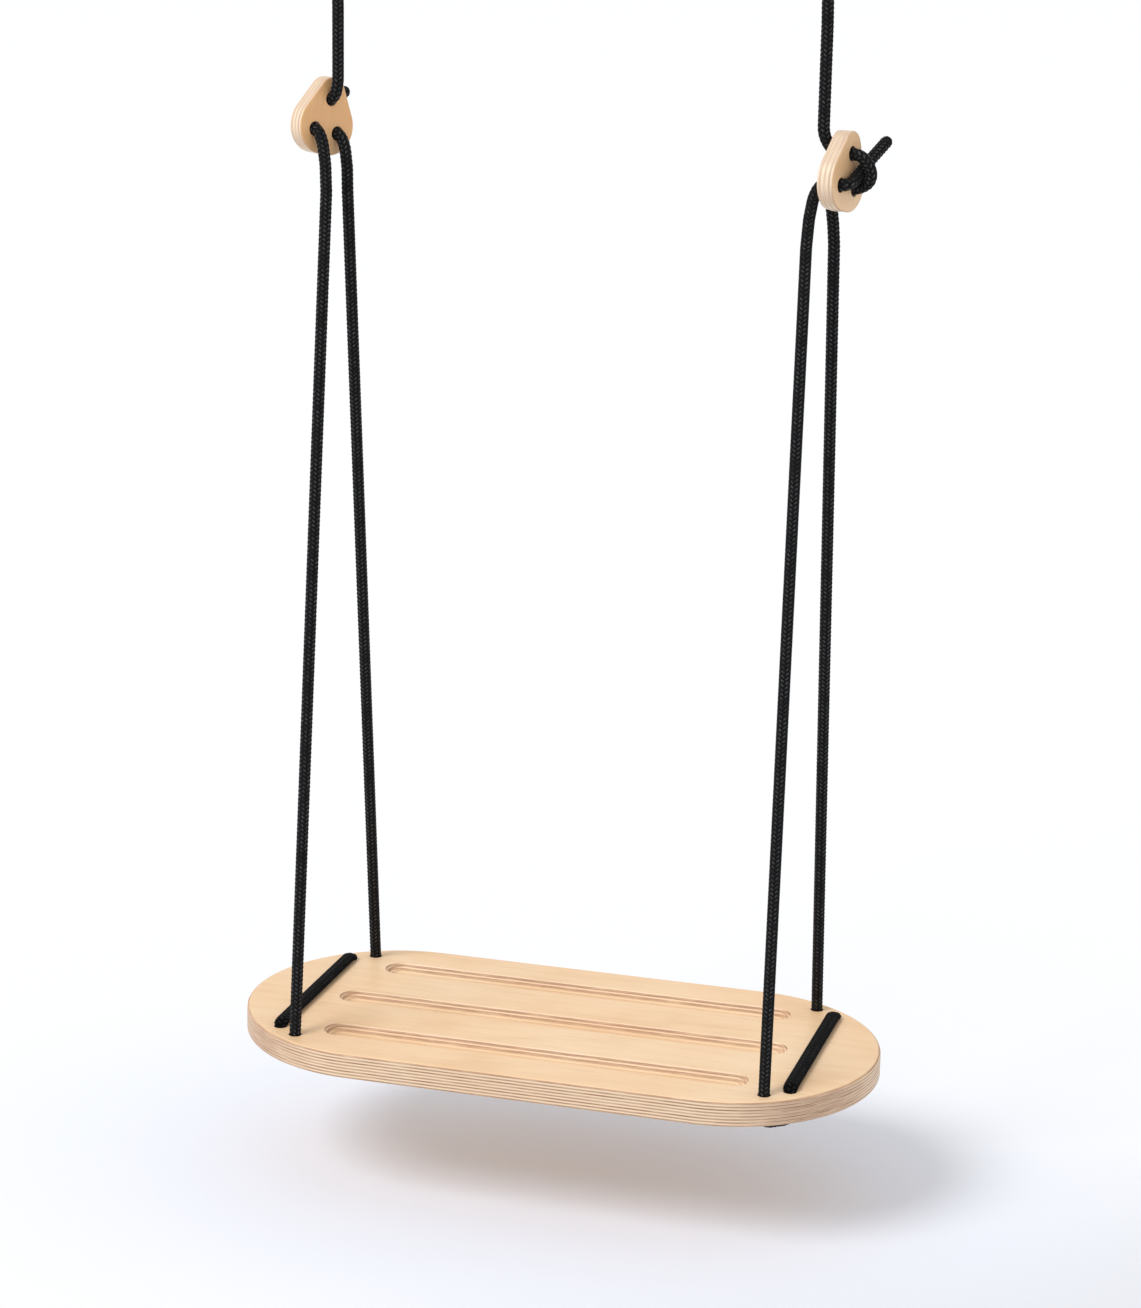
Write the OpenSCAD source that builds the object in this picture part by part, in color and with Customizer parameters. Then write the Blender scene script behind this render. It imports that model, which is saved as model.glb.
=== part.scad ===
// Board swing: a plywood seat on two laced ropes, with rope adjusters and ceiling fittings.
// Origin: centre of the four ceiling holes, on the ceiling face. +X along the seat,
// +Y to the rear, +Z up. Millimetres.

/* [Hanging] */
// Distance between the two hanging ropes
hang_w = 436; // [400:2:460]
// Height from the top of the seat up to the ceiling
drop = 1200; // [1150:5:1500]
// Height of the left adjuster above the seat
left_adjuster_h = 818; // [780:1:830]
// Height of the right adjuster above the seat
right_adjuster_h = 793; // [770:1:830]

/* [Seat board] */
// Length of the seat
seat_l = 600; // [540:5:720]
// Width of the seat, front to back
seat_w = 280; // [250:5:336]
// Thickness of the plywood
seat_t = 24; // [18:1:24]
// Rounding of the seat's edges
seat_edge_r = 3; // [1:0.5:6]

/* [Seat grooves] */
// Width of each groove
groove_w = 30; // [20:1:36]
// Depth of each groove
groove_d = 8; // [4:0.5:10]
// Distance between the middles of the grooves
groove_pitch = 84; // [60:1:100]
// Length of the middle groove
mid_groove_l = 432; // [300:2:440]
// Length of the two outer grooves
side_groove_l = 400; // [300:2:410]

/* [Rope holes in the seat] */
// Diameter of the rope
rope_d = 10; // [8:0.5:10]
// Diameter of the rope holes
rope_hole_d = 12; // [11:0.5:14]
// Distance along the seat between the leg holes
leg_hole_span_x = 440; // [400:2:460]
// Distance across the seat between the leg holes
leg_hole_span_y = 218; // [200:2:230]
// Distance along the seat between the strap holes
strap_hole_span_x = 480; // [470:2:500]
// Distance across the seat between the strap holes
strap_hole_span_y = 188; // [160:2:190]

/* [Adjusters] */
// Width of an adjuster
adjuster_w = 61; // [54:1:70]
// Height of an adjuster
adjuster_h = 68; // [66:1:80]
// Thickness of an adjuster
adjuster_t = 15; // [12:0.5:15]
// Radius of an adjuster's narrow end
adjuster_top_r = 15; // [12:1:18]
// Radius of an adjuster's lower corners
adjuster_low_r = 25; // [22:0.5:26]
// Distance from an adjuster's middle up to the top hole
adjuster_hole_up = 20; // [17:0.5:21]
// Distance from an adjuster's middle down to the lower holes
adjuster_hole_down = 8.5; // [5:0.5:9]
// Distance between the lower holes
adjuster_hole_pitch = 26; // [24:0.5:28]

/* [Ceiling plates] */
// Length of a ceiling plate, front to back
plate_l = 100; // [90:1:120]
// Width of a ceiling plate
plate_w = 40; // [34:1:48]
// Thickness of a ceiling plate and its ears
plate_t = 5; // [4:0.5:6]
// Distance between the two holes of a plate
plate_hole_pitch = 70; // [64:1:76]
// Diameter of the screw holes
plate_hole_d = 9; // [7:0.5:11]
// Height of the pivot below the ceiling
pivot_drop = 26; // [24:0.5:34]

/* [Pivots] */
// Diameter of the pivot bolt
bolt_d = 8; // [6:0.5:8]
// Distance across the flats of the bolt head and nut
hex_af = 13; // [12:0.5:15]
// Outer diameter of the pivot bush
bush_d = 13; // [12:0.5:14]
// Length of the pivot bush
bush_l = 12; // [10:0.5:14]
// Thickness of the hanging link
link_t = 8; // [6:0.5:9]
// Distance from the pivot to the lower hole of the link
link_l = 38; // [36:0.5:46]
// Diameter of the link's lower hole
link_hole_d = 14; // [12:0.5:15]

/* [Snap hooks] */
// Diameter of the snap hook's bar
hook_d = 8; // [6:0.5:8]
// Outer length of a snap hook
hook_l = 80; // [78:1:90]
// Outer width of a snap hook
hook_w = 34; // [34:1:40]
// Diameter of the gate pin
gate_pin_d = 3; // [2:0.25:3]

/* [Rope eyes] */
// Inner radius of the thimble's crown
thimble_r = 12; // [10:0.5:14]
// Wall of the thimble
thimble_t = 1.5; // [1:0.25:2]
// Length of the whipping round the rope's end
whipping_l = 35; // [30:1:40]

/* [Hidden] */
$fn = 96;

run_gap = 0.05;       // radial clearance of a running fit
face_gap = 0.3;       // clearance between faces that pass each other
rope_gap = 0.2;       // clearance round a rope that lies in a groove or sleeve
rest_gap = 0.1;       // clearance between a hook and what rests on its bow
seam_gap = 0.1;       // gap where a leg meets the rope that moves with the adjuster
cut = 1;              // how far a cutting solid runs past what it cuts
washer_t = 1.6;
washer_d = 16;
nut_t = 8;
head_t = 5.3;
ear_r = 11;
plate_corner_r = 8;
gate_clear = 0.8;     // gap between the gate and the hook's nose
gate_tongue_t = 3;
tube_sides = 10;

LEFT = -1;
RIGHT = 1;
FRONT = -1;
REAR = 1;

seat_z = -drop;
rope_r = rope_d / 2;
hook_r = hook_d / 2;
pivot_z = -pivot_drop;
ear_gap = bush_l + 2 * face_gap;
link_hole_z = pivot_z - link_l;
hook_turn_r = hook_w / 2 - hook_r;
hook_bore_r = hook_turn_r - hook_r;
hook_turn_top_z = link_hole_z - link_hole_d / 2 - bow_rise(link_t) + rest_gap;
hook_top_z = hook_turn_top_z + hook_turn_r;
hook_bottom_z = hook_top_z - (hook_l - hook_d);
hook_turn_bottom_z = hook_bottom_z + hook_turn_r;
gate_pin_z = hook_turn_bottom_z + hook_d / 2;
gate_top_z = hook_turn_top_z - hook_r;
thimble_w = rope_d + 2 * rope_gap + 2 * thimble_t;
thimble_z = hook_turn_bottom_z - bow_rise(thimble_w) + rest_gap - thimble_r;
groove_floor_r = thimble_r + thimble_t;
eye_r = groove_floor_r + rope_gap + rope_r;
eye_lean = 25;        // how far each side of the eye leans in
strand_y = rope_r + rope_gap / 2;
eye_side_l = (eye_r * cos(eye_lean) - strand_y) / sin(eye_lean);
whipping_top_z = thimble_z - eye_r * sin(eye_lean) - eye_side_l * cos(eye_lean);
whipping_bottom_z = whipping_top_z - whipping_l;
whipping_wall = 2;
adjuster_foot = 29;   // from an adjuster's middle down to its lower edge
adjuster_low_x = adjuster_w / 2 - adjuster_low_r;
adjuster_low_z = adjuster_low_r - adjuster_foot;
adjuster_top_z = adjuster_h - adjuster_foot - adjuster_top_r;
groove_r = (pow(groove_w / 2, 2) + pow(groove_d, 2)) / (2 * groove_d);

// How each adjuster hangs: turned about Z, leaning in its own plane, and its rope's place
// on it. The rope runs rope_stand in from the middle of the adjuster.
adjuster_lean = 13;
rope_stand = 16.5;
left_turn = -29.6;
right_turn = -15.5;
left_slip = -4;
right_slip = 4;
join_up = 50;         // where the hanging rope meets the lacing, above the adjuster
bend_up = 34;         // where the hanging rope starts to bend towards the adjuster

// Rope routes. Those of the lacing and the tails are in the adjuster's frame:
// outwards, to the rear, up. Those of the legs and strap are in the seat's frame.
left_lacing_route = [
    [-11, 4.4, 19.4], [9.5, 4.4, 19.3], [17, 4.8, 18], [23.5, 6, 12], [25, 8, 3],
    [22, 10, -7], [16, 10.8, -11], [9.5, 10.8, -11.2], [-11.5, 10.8, -11.2],
    [-17, 11.5, -22], [-20, 11.5, -40], [-20.5, 11.5, -60]];
right_lacing_route = [
    [-11, 4.4, 19.4], [9.5, 4.4, 19.3], [16.5, 4.8, 17.5], [22, 6.5, 11], [24, 9, 2.5],
    [21.5, 10, -4], [16.5, 10.5, -7.8], [9.5, 10.8, -10.6], [-11.5, 10.8, -11.2],
    [-15, 11.2, -20], [-14.3, 12, -29], [-13, 13.5, -43], [-12, 14.5, -60]];
left_tail_route = [
    [-20.5, -13, -60], [-20, -13.5, -36], [-17, -14, -17], [-11.5, -14.6, -5.4],
    [12, -14.3, -5.2], [13, -4, -3.6], [13.4, 9, 2.2], [16, 27, 13], [18, 44, 25]];
right_tail_route = [
    [-22, -17.5, -60], [-21, -16, -36], [-18, -15, -17], [-11.5, -14.6, -5.4],
    [12, -14.3, -5.2], [13, -4, -3.4], [13.2, 8, 2.5], [15.5, 25, 14.5], [21, 46, 30]];
strap_route = [
    [220, 109, 0], [220, 109, -25], [223, 106.7, -29.5], [237, 96.3, -29.5], [240, 94, -25],
    [240, 94, 1.5], [240, 90, 5.5], [240, -90, 5.5], [240, -94, 1.5],
    [240, -94, -25], [237, -96.3, -29.5], [223, -106.7, -29.5], [220, -109, -25],
    [220, -109, 0]];

// Distance from the middle of a hook's bow to where a wall of this width rests on it
function bow_rise(wall) = sqrt(pow(hook_bore_r, 2) - pow(wall / 2, 2));

function unit(v) = v / norm(v);

// Direction of the route at point i: along it at the ends, halfway round each corner
function heading(p, i) =
    i == 0 ? unit(p[1] - p[0])
    : i == len(p) - 1 ? unit(p[i] - p[i - 1])
    : unit(unit(p[i] - p[i - 1]) + unit(p[i + 1] - p[i]));

function last(p, back = 0) = p[len(p) - 1 - back];

// The upper end of a leg, just short of the rope that it goes on into
function towards(high, low) = high + seam_gap * unit(low - high);

// A side direction carried along the route without twisting
function side_way(p, i) =
    let (d = heading(p, i), before = i == 0 ? [0.6, 0.8, 0.1] : side_way(p, i - 1))
    unit(before - (before * d) * d);

function ring(p, i, r) =
    let (d = heading(p, i), u = side_way(p, i), v = cross(d, u))
    [for (k = [0:tube_sides - 1]) let (a = 360 * k / tube_sides)
        p[i] + r * cos(a) * u + r * sin(a) * v];

// A point of the adjuster's frame, in the row's frame
function hung(side, q) =
    let (turn = side == LEFT ? left_turn : right_turn,
         slip = side == LEFT ? left_slip : right_slip,
         h = side == LEFT ? left_adjuster_h : right_adjuster_h,
         out = side * [cos(turn), sin(turn), 0],
         rearwards = [-sin(turn), cos(turn), 0])
    [side * hang_w / 2, 0, seat_z + h] + out * (q[0] + rope_stand) + rearwards * (q[1] + slip)
        + [0, 0, q[2]];

function on_seat(side, q) = [side * q[0], q[1], seat_z + q[2]];

function adjuster_z(side) = seat_z + (side == LEFT ? left_adjuster_h : right_adjuster_h);

function lacing_route(side) = side == LEFT ? left_lacing_route : right_lacing_route;

function tail_route(side) = side == LEFT ? left_tail_route : right_tail_route;

// Round tube along a route. The points that the rope comes from and goes on to set the
// slant of its two end faces, so that the next stretch of rope meets it face to face.
module rope(points, from = [], to = []) {
    n = len(points);
    s = tube_sides;
    route = concat(from, points, to);
    sides = [for (i = [0:n - 2], k = [0:s - 1])
        [i * s + k, (i + 1) * s + k, (i + 1) * s + (k + 1) % s, i * s + (k + 1) % s]];
    first_end = [for (k = [0:s - 1]) k];
    last_end = [for (k = [0:s - 1]) (n - 1) * s + s - 1 - k];
    color([0.07, 0.07, 0.08])
        polyhedron(
            points = [for (i = [0:n - 1]) each ring(route, i + len(from), rope_r)],
            faces = concat(sides, [first_end], [last_end]));
}

// Bar along X, Y or Z from its middle
module bar_x(r, l) { rotate([0, 90, 0]) cylinder(r = r, h = l, center = true); }
module bar_y(r, l) { rotate([90, 0, 0]) cylinder(r = r, h = l, center = true); }

// ---- Seat ----

// Board of the seat's outline, made smaller all round by inset
module seat_slab(inset, z0, z1) {
    end_r = seat_w / 2 - inset;
    translate([0, 0, z0]) linear_extrude(z1 - z0) {
        square([seat_l - seat_w, 2 * end_r], center = true);
        for (s = [LEFT, RIGHT]) translate([s * (seat_l - seat_w) / 2, 0]) circle(end_r);
    }
}

// One groove: a round-bottomed cut with ball ends
module groove(l) {
    z = groove_r - groove_d;
    half = l / 2 - groove_w / 2;
    translate([0, 0, z]) {
        bar_x(groove_r, 2 * half);
        for (s = [LEFT, RIGHT]) translate([s * half, 0, 0]) sphere(groove_r);
    }
}

module seat_board() {
    r = seat_edge_r;
    color([0.86, 0.71, 0.52])
        translate([0, 0, seat_z]) difference() {
            union() {
                seat_slab(0, r - seat_t, -r);
                seat_slab(r, -seat_t, 0);
                for (z = [-r, r - seat_t]) {
                    for (s = [FRONT, REAR])
                        translate([0, s * (seat_w / 2 - r), z]) bar_x(r, seat_l - seat_w);
                    for (s = [LEFT, RIGHT])
                        translate([s * (seat_l - seat_w) / 2, 0, z])
                            rotate_extrude() translate([seat_w / 2 - r, 0]) circle(r, $fn = 48);
                }
            }
            groove(mid_groove_l);
            for (s = [FRONT, REAR])
                translate([0, s * groove_pitch, 0]) groove(side_groove_l);
            for (sx = [LEFT, RIGHT], sy = [FRONT, REAR], span = [
                    [leg_hole_span_x, leg_hole_span_y], [strap_hole_span_x, strap_hole_span_y]])
                translate([sx * span[0] / 2, sy * span[1] / 2, -seat_t - cut])
                    cylinder(d = rope_hole_d, h = seat_t + 2 * cut);
        }
}

// ---- Adjuster ----

// Outline: two lower corners and a narrow top, joined by their tangents
module adjuster_outline() {
    slope = [-adjuster_low_x, adjuster_top_z - adjuster_low_z];
    lean = atan2(slope[1], slope[0]) - acos((adjuster_low_r - adjuster_top_r) / norm(slope));
    low = [adjuster_low_x, adjuster_low_z] + adjuster_low_r * [cos(lean), sin(lean)];
    high = [0, adjuster_top_z] + adjuster_top_r * [cos(lean), sin(lean)];
    translate([0, adjuster_top_z]) circle(adjuster_top_r);
    for (s = [LEFT, RIGHT])
        translate([s * adjuster_low_x, adjuster_low_z]) circle(adjuster_low_r);
    polygon([
        low, high, [-high[0], high[1]], [-low[0], low[1]],
        [-adjuster_low_x, -adjuster_foot], [adjuster_low_x, -adjuster_foot]]);
}

module adjuster(side) {
    turn = side == LEFT ? left_turn : right_turn;
    color([0.88, 0.73, 0.54])
        translate(hung(side, [0, 0, 0])) rotate([0, 0, turn]) rotate([-adjuster_lean, 0, 0])
            rotate([90, 0, 90]) difference() {
                linear_extrude(adjuster_t, center = true) adjuster_outline();
                for (q = [[0, adjuster_hole_up], [-adjuster_hole_pitch / 2, -adjuster_hole_down],
                        [adjuster_hole_pitch / 2, -adjuster_hole_down]])
                    translate([q[0], q[1], -adjuster_t / 2 - cut])
                        cylinder(d = rope_hole_d, h = adjuster_t + 2 * cut);
            }
}

// ---- Ceiling plate and pivot ----

module at_hang(side) { translate([side * hang_w / 2, 0, 0]) children(); }

module ceiling_plate(side) {
    color([0.62, 0.64, 0.66]) at_hang(side) difference() {
        union() {
            translate([0, 0, -plate_t]) linear_extrude(plate_t) {
                square([plate_w, plate_l - 2 * plate_corner_r], center = true);
                square([plate_w - 2 * plate_corner_r, plate_l], center = true);
                for (sx = [LEFT, RIGHT], sy = [FRONT, REAR])
                    translate([sx * (plate_w / 2 - plate_corner_r),
                            sy * (plate_l / 2 - plate_corner_r)])
                        circle(plate_corner_r);
            }
            for (s = [LEFT, RIGHT]) translate([s * (ear_gap + plate_t) / 2, 0, 0]) {
                translate([0, 0, pivot_z]) bar_x(ear_r, plate_t);
                translate([-plate_t / 2, -ear_r, pivot_z])
                    cube([plate_t, 2 * ear_r, -pivot_z - plate_t / 2]);
            }
        }
        translate([0, 0, pivot_z])
            bar_x(bolt_d / 2 + run_gap, plate_w + 2 * cut);
        for (s = [FRONT, REAR])
            translate([0, s * plate_hole_pitch / 2, -plate_t - cut])
                cylinder(d = plate_hole_d, h = plate_t + 2 * cut);
    }
}

ear_out = ear_gap / 2 + plate_t;

// The bolt's head faces outwards, its nut towards the other rope
module pivot_bolt(side) {
    grip = 2 * (ear_out + washer_t) + nut_t + 3;
    color([0.70, 0.71, 0.73]) at_hang(side) translate([0, 0, pivot_z])
        mirror([side == LEFT ? 1 : 0, 0, 0]) translate([ear_out + washer_t, 0, 0]) {
            rotate([0, 90, 0]) cylinder(d = hex_af / cos(30), h = head_t, $fn = 6);
            rotate([0, -90, 0]) cylinder(d = bolt_d, h = grip);
        }
}

module pivot_nut(side) {
    color([0.66, 0.67, 0.69]) at_hang(side) translate([0, 0, pivot_z])
        mirror([side == LEFT ? 1 : 0, 0, 0])
            translate([-ear_out - washer_t, 0, 0]) rotate([0, -90, 0]) difference() {
                cylinder(d = hex_af / cos(30), h = nut_t, $fn = 6);
                translate([0, 0, -cut]) cylinder(d = bolt_d + 2 * run_gap, h = nut_t + 2 * cut);
            }
}

module pivot_washers(side) {
    color([0.74, 0.75, 0.77]) at_hang(side) translate([0, 0, pivot_z])
        for (s = [LEFT, RIGHT]) translate([s * (ear_out + washer_t / 2), 0, 0]) difference() {
            bar_x(washer_d / 2, washer_t);
            bar_x(bolt_d / 2 + run_gap, washer_t + 2 * cut);
        }
}

module pivot_bush(side) {
    color([0.90, 0.89, 0.84]) at_hang(side) translate([0, 0, pivot_z]) difference() {
        bar_x(bush_d / 2, bush_l);
        bar_x(bolt_d / 2 + run_gap, bush_l + 2 * cut);
    }
}

module hanging_link(side) {
    wall = 6;
    top_r = bush_d / 2 + wall;
    low_r = link_hole_d / 2 + wall;
    color([0.64, 0.66, 0.68]) at_hang(side) difference() {
        union() {
            translate([0, 0, pivot_z]) bar_x(top_r, link_t);
            translate([0, 0, link_hole_z]) bar_x(low_r, link_t);
            translate([-link_t / 2, -top_r, link_hole_z]) cube([link_t, 2 * top_r, link_l]);
        }
        translate([0, 0, pivot_z]) bar_x(bush_d / 2, link_t + 2 * cut);
        translate([0, 0, link_hole_z]) bar_x(link_hole_d / 2, link_t + 2 * cut);
    }
}

// ---- Snap hook ----

// The gate is on the hook's side that faces the other rope
module hook_frame(side) {
    at_hang(side) mirror([side == LEFT ? 1 : 0, 0, 0]) children();
}

module half_turn(up) {
    rotate([90, 0, 0]) rotate([0, 0, up ? 0 : 180])
        rotate_extrude(angle = 180) translate([hook_turn_r, 0]) circle(hook_r, $fn = 48);
}

module snap_hook(side) {
    back_l = hook_turn_top_z - hook_turn_bottom_z;
    stub_l = gate_pin_z - hook_r - 1 - hook_turn_bottom_z;
    tongue_r = hook_r - 0.5;
    color([0.76, 0.77, 0.79]) hook_frame(side) difference() {
        union() {
            translate([0, 0, hook_turn_top_z]) half_turn(true);
            translate([0, 0, hook_turn_bottom_z]) half_turn(false);
            translate([hook_turn_r, 0, hook_turn_bottom_z]) cylinder(r = hook_r, h = back_l);
            translate([-hook_turn_r, 0, hook_turn_bottom_z - cut])
                cylinder(r = hook_r, h = stub_l + cut);
            translate([-hook_turn_r, 0, gate_top_z + gate_clear])
                cylinder(r = hook_r, h = hook_turn_top_z - gate_top_z - gate_clear);
            translate([-hook_turn_r, 0, gate_pin_z]) bar_y(tongue_r, gate_tongue_t);
            translate([-hook_turn_r - tongue_r, -gate_tongue_t / 2, hook_turn_bottom_z])
                cube([2 * tongue_r, gate_tongue_t, gate_pin_z - hook_turn_bottom_z]);
        }
        translate([-hook_turn_r, 0, gate_pin_z]) bar_y(gate_pin_d / 2, hook_d + 2 * cut);
    }
}

gate_slot_up = 6;     // how far the gate's slot runs above its pin
spring_l = 8;
spring_r = 1.7;

module hook_gate(side) {
    color([0.72, 0.73, 0.75]) hook_frame(side) translate([-hook_turn_r, 0, gate_pin_z])
        difference() {
            union() {
                cylinder(r = hook_r, h = gate_top_z - gate_pin_z);
                intersection() {
                    bar_y(hook_r, hook_d);
                    translate([0, 0, -hook_d]) cylinder(r = hook_r, h = 2 * hook_d);
                }
            }
            translate([-hook_d, -gate_tongue_t / 2 - face_gap, -hook_d])
                cube([2 * hook_d, gate_tongue_t + 2 * face_gap, hook_d + gate_slot_up]);
            translate([0, 0, gate_slot_up - cut])
                cylinder(r = spring_r + face_gap, h = spring_l + cut);
            bar_y(gate_pin_d / 2 + run_gap, hook_d + 2 * cut);
        }
}

module gate_pin(side) {
    color([0.80, 0.81, 0.82]) hook_frame(side)
        translate([-hook_turn_r, 0, gate_pin_z]) bar_y(gate_pin_d / 2, hook_d);
}

// Coil that pushes the gate shut, as a plain sleeve in the gate's bore
module gate_spring(side) {
    foot = hook_r - 0.2;
    color([0.55, 0.56, 0.58]) hook_frame(side)
        translate([-hook_turn_r, 0, gate_pin_z + foot]) difference() {
            cylinder(r = spring_r - 0.2, h = spring_l + gate_slot_up - foot - face_gap);
            translate([0, 0, -cut]) cylinder(r = spring_r - 0.9, h = spring_l + 2 * hook_d);
        }
}

// ---- Rope eye ----

// Profile of the thimble's channel, at its place out from the eye's middle
module channel() {
    depth = thimble_t + rope_r;
    translate([thimble_r, -thimble_w / 2]) difference() {
        square([depth, thimble_w]);
        translate([thimble_t, thimble_t]) square([depth, thimble_w - 2 * thimble_t]);
    }
}

module thimble(side) {
    sweep = 180 + 2 * eye_lean;
    color([0.78, 0.79, 0.80]) at_hang(side)
        translate([0, 0, thimble_z]) rotate([90, 0, 90]) rotate([0, 0, -eye_lean])
            rotate_extrude(angle = sweep) channel();
}

// The eye: up one strand, over the thimble's crown and down the other
module rope_eye(side) {
    x = side * hang_w / 2;
    crown = [for (a = [-eye_lean:23:180 + eye_lean])
        [x, eye_r * cos(a), thimble_z + eye_r * sin(a)]];
    rope(concat(
        [[x, strand_y, whipping_bottom_z], [x, strand_y, whipping_top_z]],
        crown,
        [[x, -strand_y, whipping_top_z], [x, -strand_y, whipping_bottom_z]]));
}

module whipping(side) {
    color([0.10, 0.10, 0.11]) at_hang(side)
        translate([0, 0, whipping_bottom_z]) linear_extrude(whipping_l - rope_r) difference() {
            capsule(rope_r + rope_gap + whipping_wall);
            capsule(rope_r + rope_gap);
        }
}

// Outline round the two strands
module capsule(r) {
    square([2 * r, 2 * strand_y], center = true);
    for (s = [FRONT, REAR]) translate([0, s * strand_y]) circle(r);
}

// ---- Ropes ----

module upper_rope(side) {
    x = side * hang_w / 2;
    rope([[x, -strand_y, whipping_bottom_z], [x, -strand_y, whipping_bottom_z - 15],
        [x, 0, whipping_bottom_z - 70], [x, 0, adjuster_z(side) + join_up]]);
}

module lacing(side) {
    x = side * hang_w / 2;
    rope(concat(
        [[x, 0, adjuster_z(side) + join_up], [x, 0, adjuster_z(side) + bend_up]],
        [for (q = lacing_route(side)) hung(side, q)]),
        to = [on_seat(side, strap_route[0])]);
}

module rear_leg(side) {
    high = hung(side, last(lacing_route(side)));
    low = on_seat(side, strap_route[0]);
    rope([towards(high, low), low],
        from = [hung(side, last(lacing_route(side), 1))], to = [on_seat(side, strap_route[1])]);
}

module seat_strap(side) {
    rope([for (q = strap_route) on_seat(side, q)],
        from = [hung(side, last(lacing_route(side)))], to = [hung(side, tail_route(side)[0])]);
}

module front_leg(side) {
    high = hung(side, tail_route(side)[0]);
    low = on_seat(side, last(strap_route));
    rope([low, towards(high, low)],
        from = [on_seat(side, last(strap_route, 1))], to = [hung(side, tail_route(side)[1])]);
}

module rope_tail(side) {
    rope([for (q = tail_route(side)) hung(side, q)], from = [on_seat(side, last(strap_route))]);
}

seat_board();
ceiling_plate(LEFT);  // left_ceiling_plate
pivot_bolt(LEFT);  // left_pivot_bolt
pivot_nut(LEFT);  // left_pivot_nut
pivot_washers(LEFT);  // left_pivot_washers
pivot_bush(LEFT);  // left_pivot_bush
hanging_link(LEFT);  // left_hanging_link
snap_hook(LEFT);  // left_snap_hook
hook_gate(LEFT);  // left_hook_gate
gate_pin(LEFT);  // left_gate_pin
gate_spring(LEFT);  // left_gate_spring
thimble(LEFT);  // left_thimble
rope_eye(LEFT);  // left_rope_eye
whipping(LEFT);  // left_whipping
upper_rope(LEFT);  // left_upper_rope
adjuster(LEFT);  // left_adjuster
lacing(LEFT);  // left_lacing
rope_tail(LEFT);  // left_rope_tail
front_leg(LEFT);  // left_front_leg
rear_leg(LEFT);  // left_rear_leg
seat_strap(LEFT);  // left_seat_strap
ceiling_plate(RIGHT);  // right_ceiling_plate
pivot_bolt(RIGHT);  // right_pivot_bolt
pivot_nut(RIGHT);  // right_pivot_nut
pivot_washers(RIGHT);  // right_pivot_washers
pivot_bush(RIGHT);  // right_pivot_bush
hanging_link(RIGHT);  // right_hanging_link
snap_hook(RIGHT);  // right_snap_hook
hook_gate(RIGHT);  // right_hook_gate
gate_pin(RIGHT);  // right_gate_pin
gate_spring(RIGHT);  // right_gate_spring
thimble(RIGHT);  // right_thimble
rope_eye(RIGHT);  // right_rope_eye
whipping(RIGHT);  // right_whipping
upper_rope(RIGHT);  // right_upper_rope
adjuster(RIGHT);  // right_adjuster
lacing(RIGHT);  // right_lacing
rope_tail(RIGHT);  // right_rope_tail
front_leg(RIGHT);  // right_front_leg
rear_leg(RIGHT);  // right_rear_leg
seat_strap(RIGHT);  // right_seat_strap
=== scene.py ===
"""Plywood board swing: looks, ropes, fittings and studio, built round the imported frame.

The seat board, the two rope adjusters, the braided ropes and the ceiling fittings are each
made by a class of their own. Everything is in metres, in the frame's own coordinates.
"""
import logging
import math
from dataclasses import dataclass, field, replace
from enum import Enum
from typing import Callable, ClassVar, Iterable, Sequence

import bmesh
import bpy
import numpy as np
from mathutils import Matrix, Vector


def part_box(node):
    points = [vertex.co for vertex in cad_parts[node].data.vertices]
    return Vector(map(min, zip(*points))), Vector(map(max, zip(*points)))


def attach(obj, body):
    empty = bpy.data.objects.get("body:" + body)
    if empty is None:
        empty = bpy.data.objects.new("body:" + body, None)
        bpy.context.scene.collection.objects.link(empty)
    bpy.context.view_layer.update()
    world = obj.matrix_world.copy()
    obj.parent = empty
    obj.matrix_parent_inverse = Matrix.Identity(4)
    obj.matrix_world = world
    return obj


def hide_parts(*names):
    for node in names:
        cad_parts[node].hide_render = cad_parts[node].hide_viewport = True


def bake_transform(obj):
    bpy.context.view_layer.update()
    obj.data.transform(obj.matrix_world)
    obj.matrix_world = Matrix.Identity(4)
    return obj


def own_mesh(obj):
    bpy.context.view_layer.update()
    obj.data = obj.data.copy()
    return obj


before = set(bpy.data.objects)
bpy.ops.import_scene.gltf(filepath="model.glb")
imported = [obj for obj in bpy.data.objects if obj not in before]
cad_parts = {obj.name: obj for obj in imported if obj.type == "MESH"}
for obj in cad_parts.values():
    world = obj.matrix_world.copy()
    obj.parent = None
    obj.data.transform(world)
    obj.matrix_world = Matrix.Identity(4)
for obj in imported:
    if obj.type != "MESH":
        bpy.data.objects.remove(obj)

LOG = logging.getLogger("board_swing")
MM = 0.001


class Side(Enum):
    """The two ropes of the swing, with the sign of their place along X."""

    LEFT = -1
    RIGHT = 1

    @property
    def word(self) -> str:
        """The side's name, as the nodes' names begin."""
        return self.name.lower()

    @property
    def body(self) -> str:
        """The body that the side's adjuster moves with."""
        return f"{self.word}_adjuster_body"

    def node(self, part: str) -> str:
        """The name of one of the side's nodes."""
        return f"{self.word}_{part}"


class Axis(Enum):
    """Axis that a turned piece is made about."""

    X = (1.0, 0.0, 0.0)
    Y = (0.0, 1.0, 0.0)
    Z = (0.0, 0.0, 1.0)


# ---------------------------------------------------------------- workbench


def deselect() -> None:
    """Leaves object mode and deselects every object."""
    if bpy.context.object and bpy.context.object.mode != "OBJECT":
        bpy.ops.object.mode_set(mode="OBJECT")
    bpy.ops.object.select_all(action="DESELECT")


def pick(*objects: bpy.types.Object) -> bpy.types.Object:
    """Selects only these objects and makes the first one active.

    Args:
        *objects: The objects to select.

    Returns:
        The first object.
    """
    deselect()
    for one in objects:
        one.select_set(True)
    bpy.context.view_layer.objects.active = objects[0]
    return objects[0]


def named(name: str) -> bpy.types.Object:
    """Names the active object and its mesh, and returns it."""
    piece = bpy.context.object
    piece.name = name
    piece.data.name = name
    return piece


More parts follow.
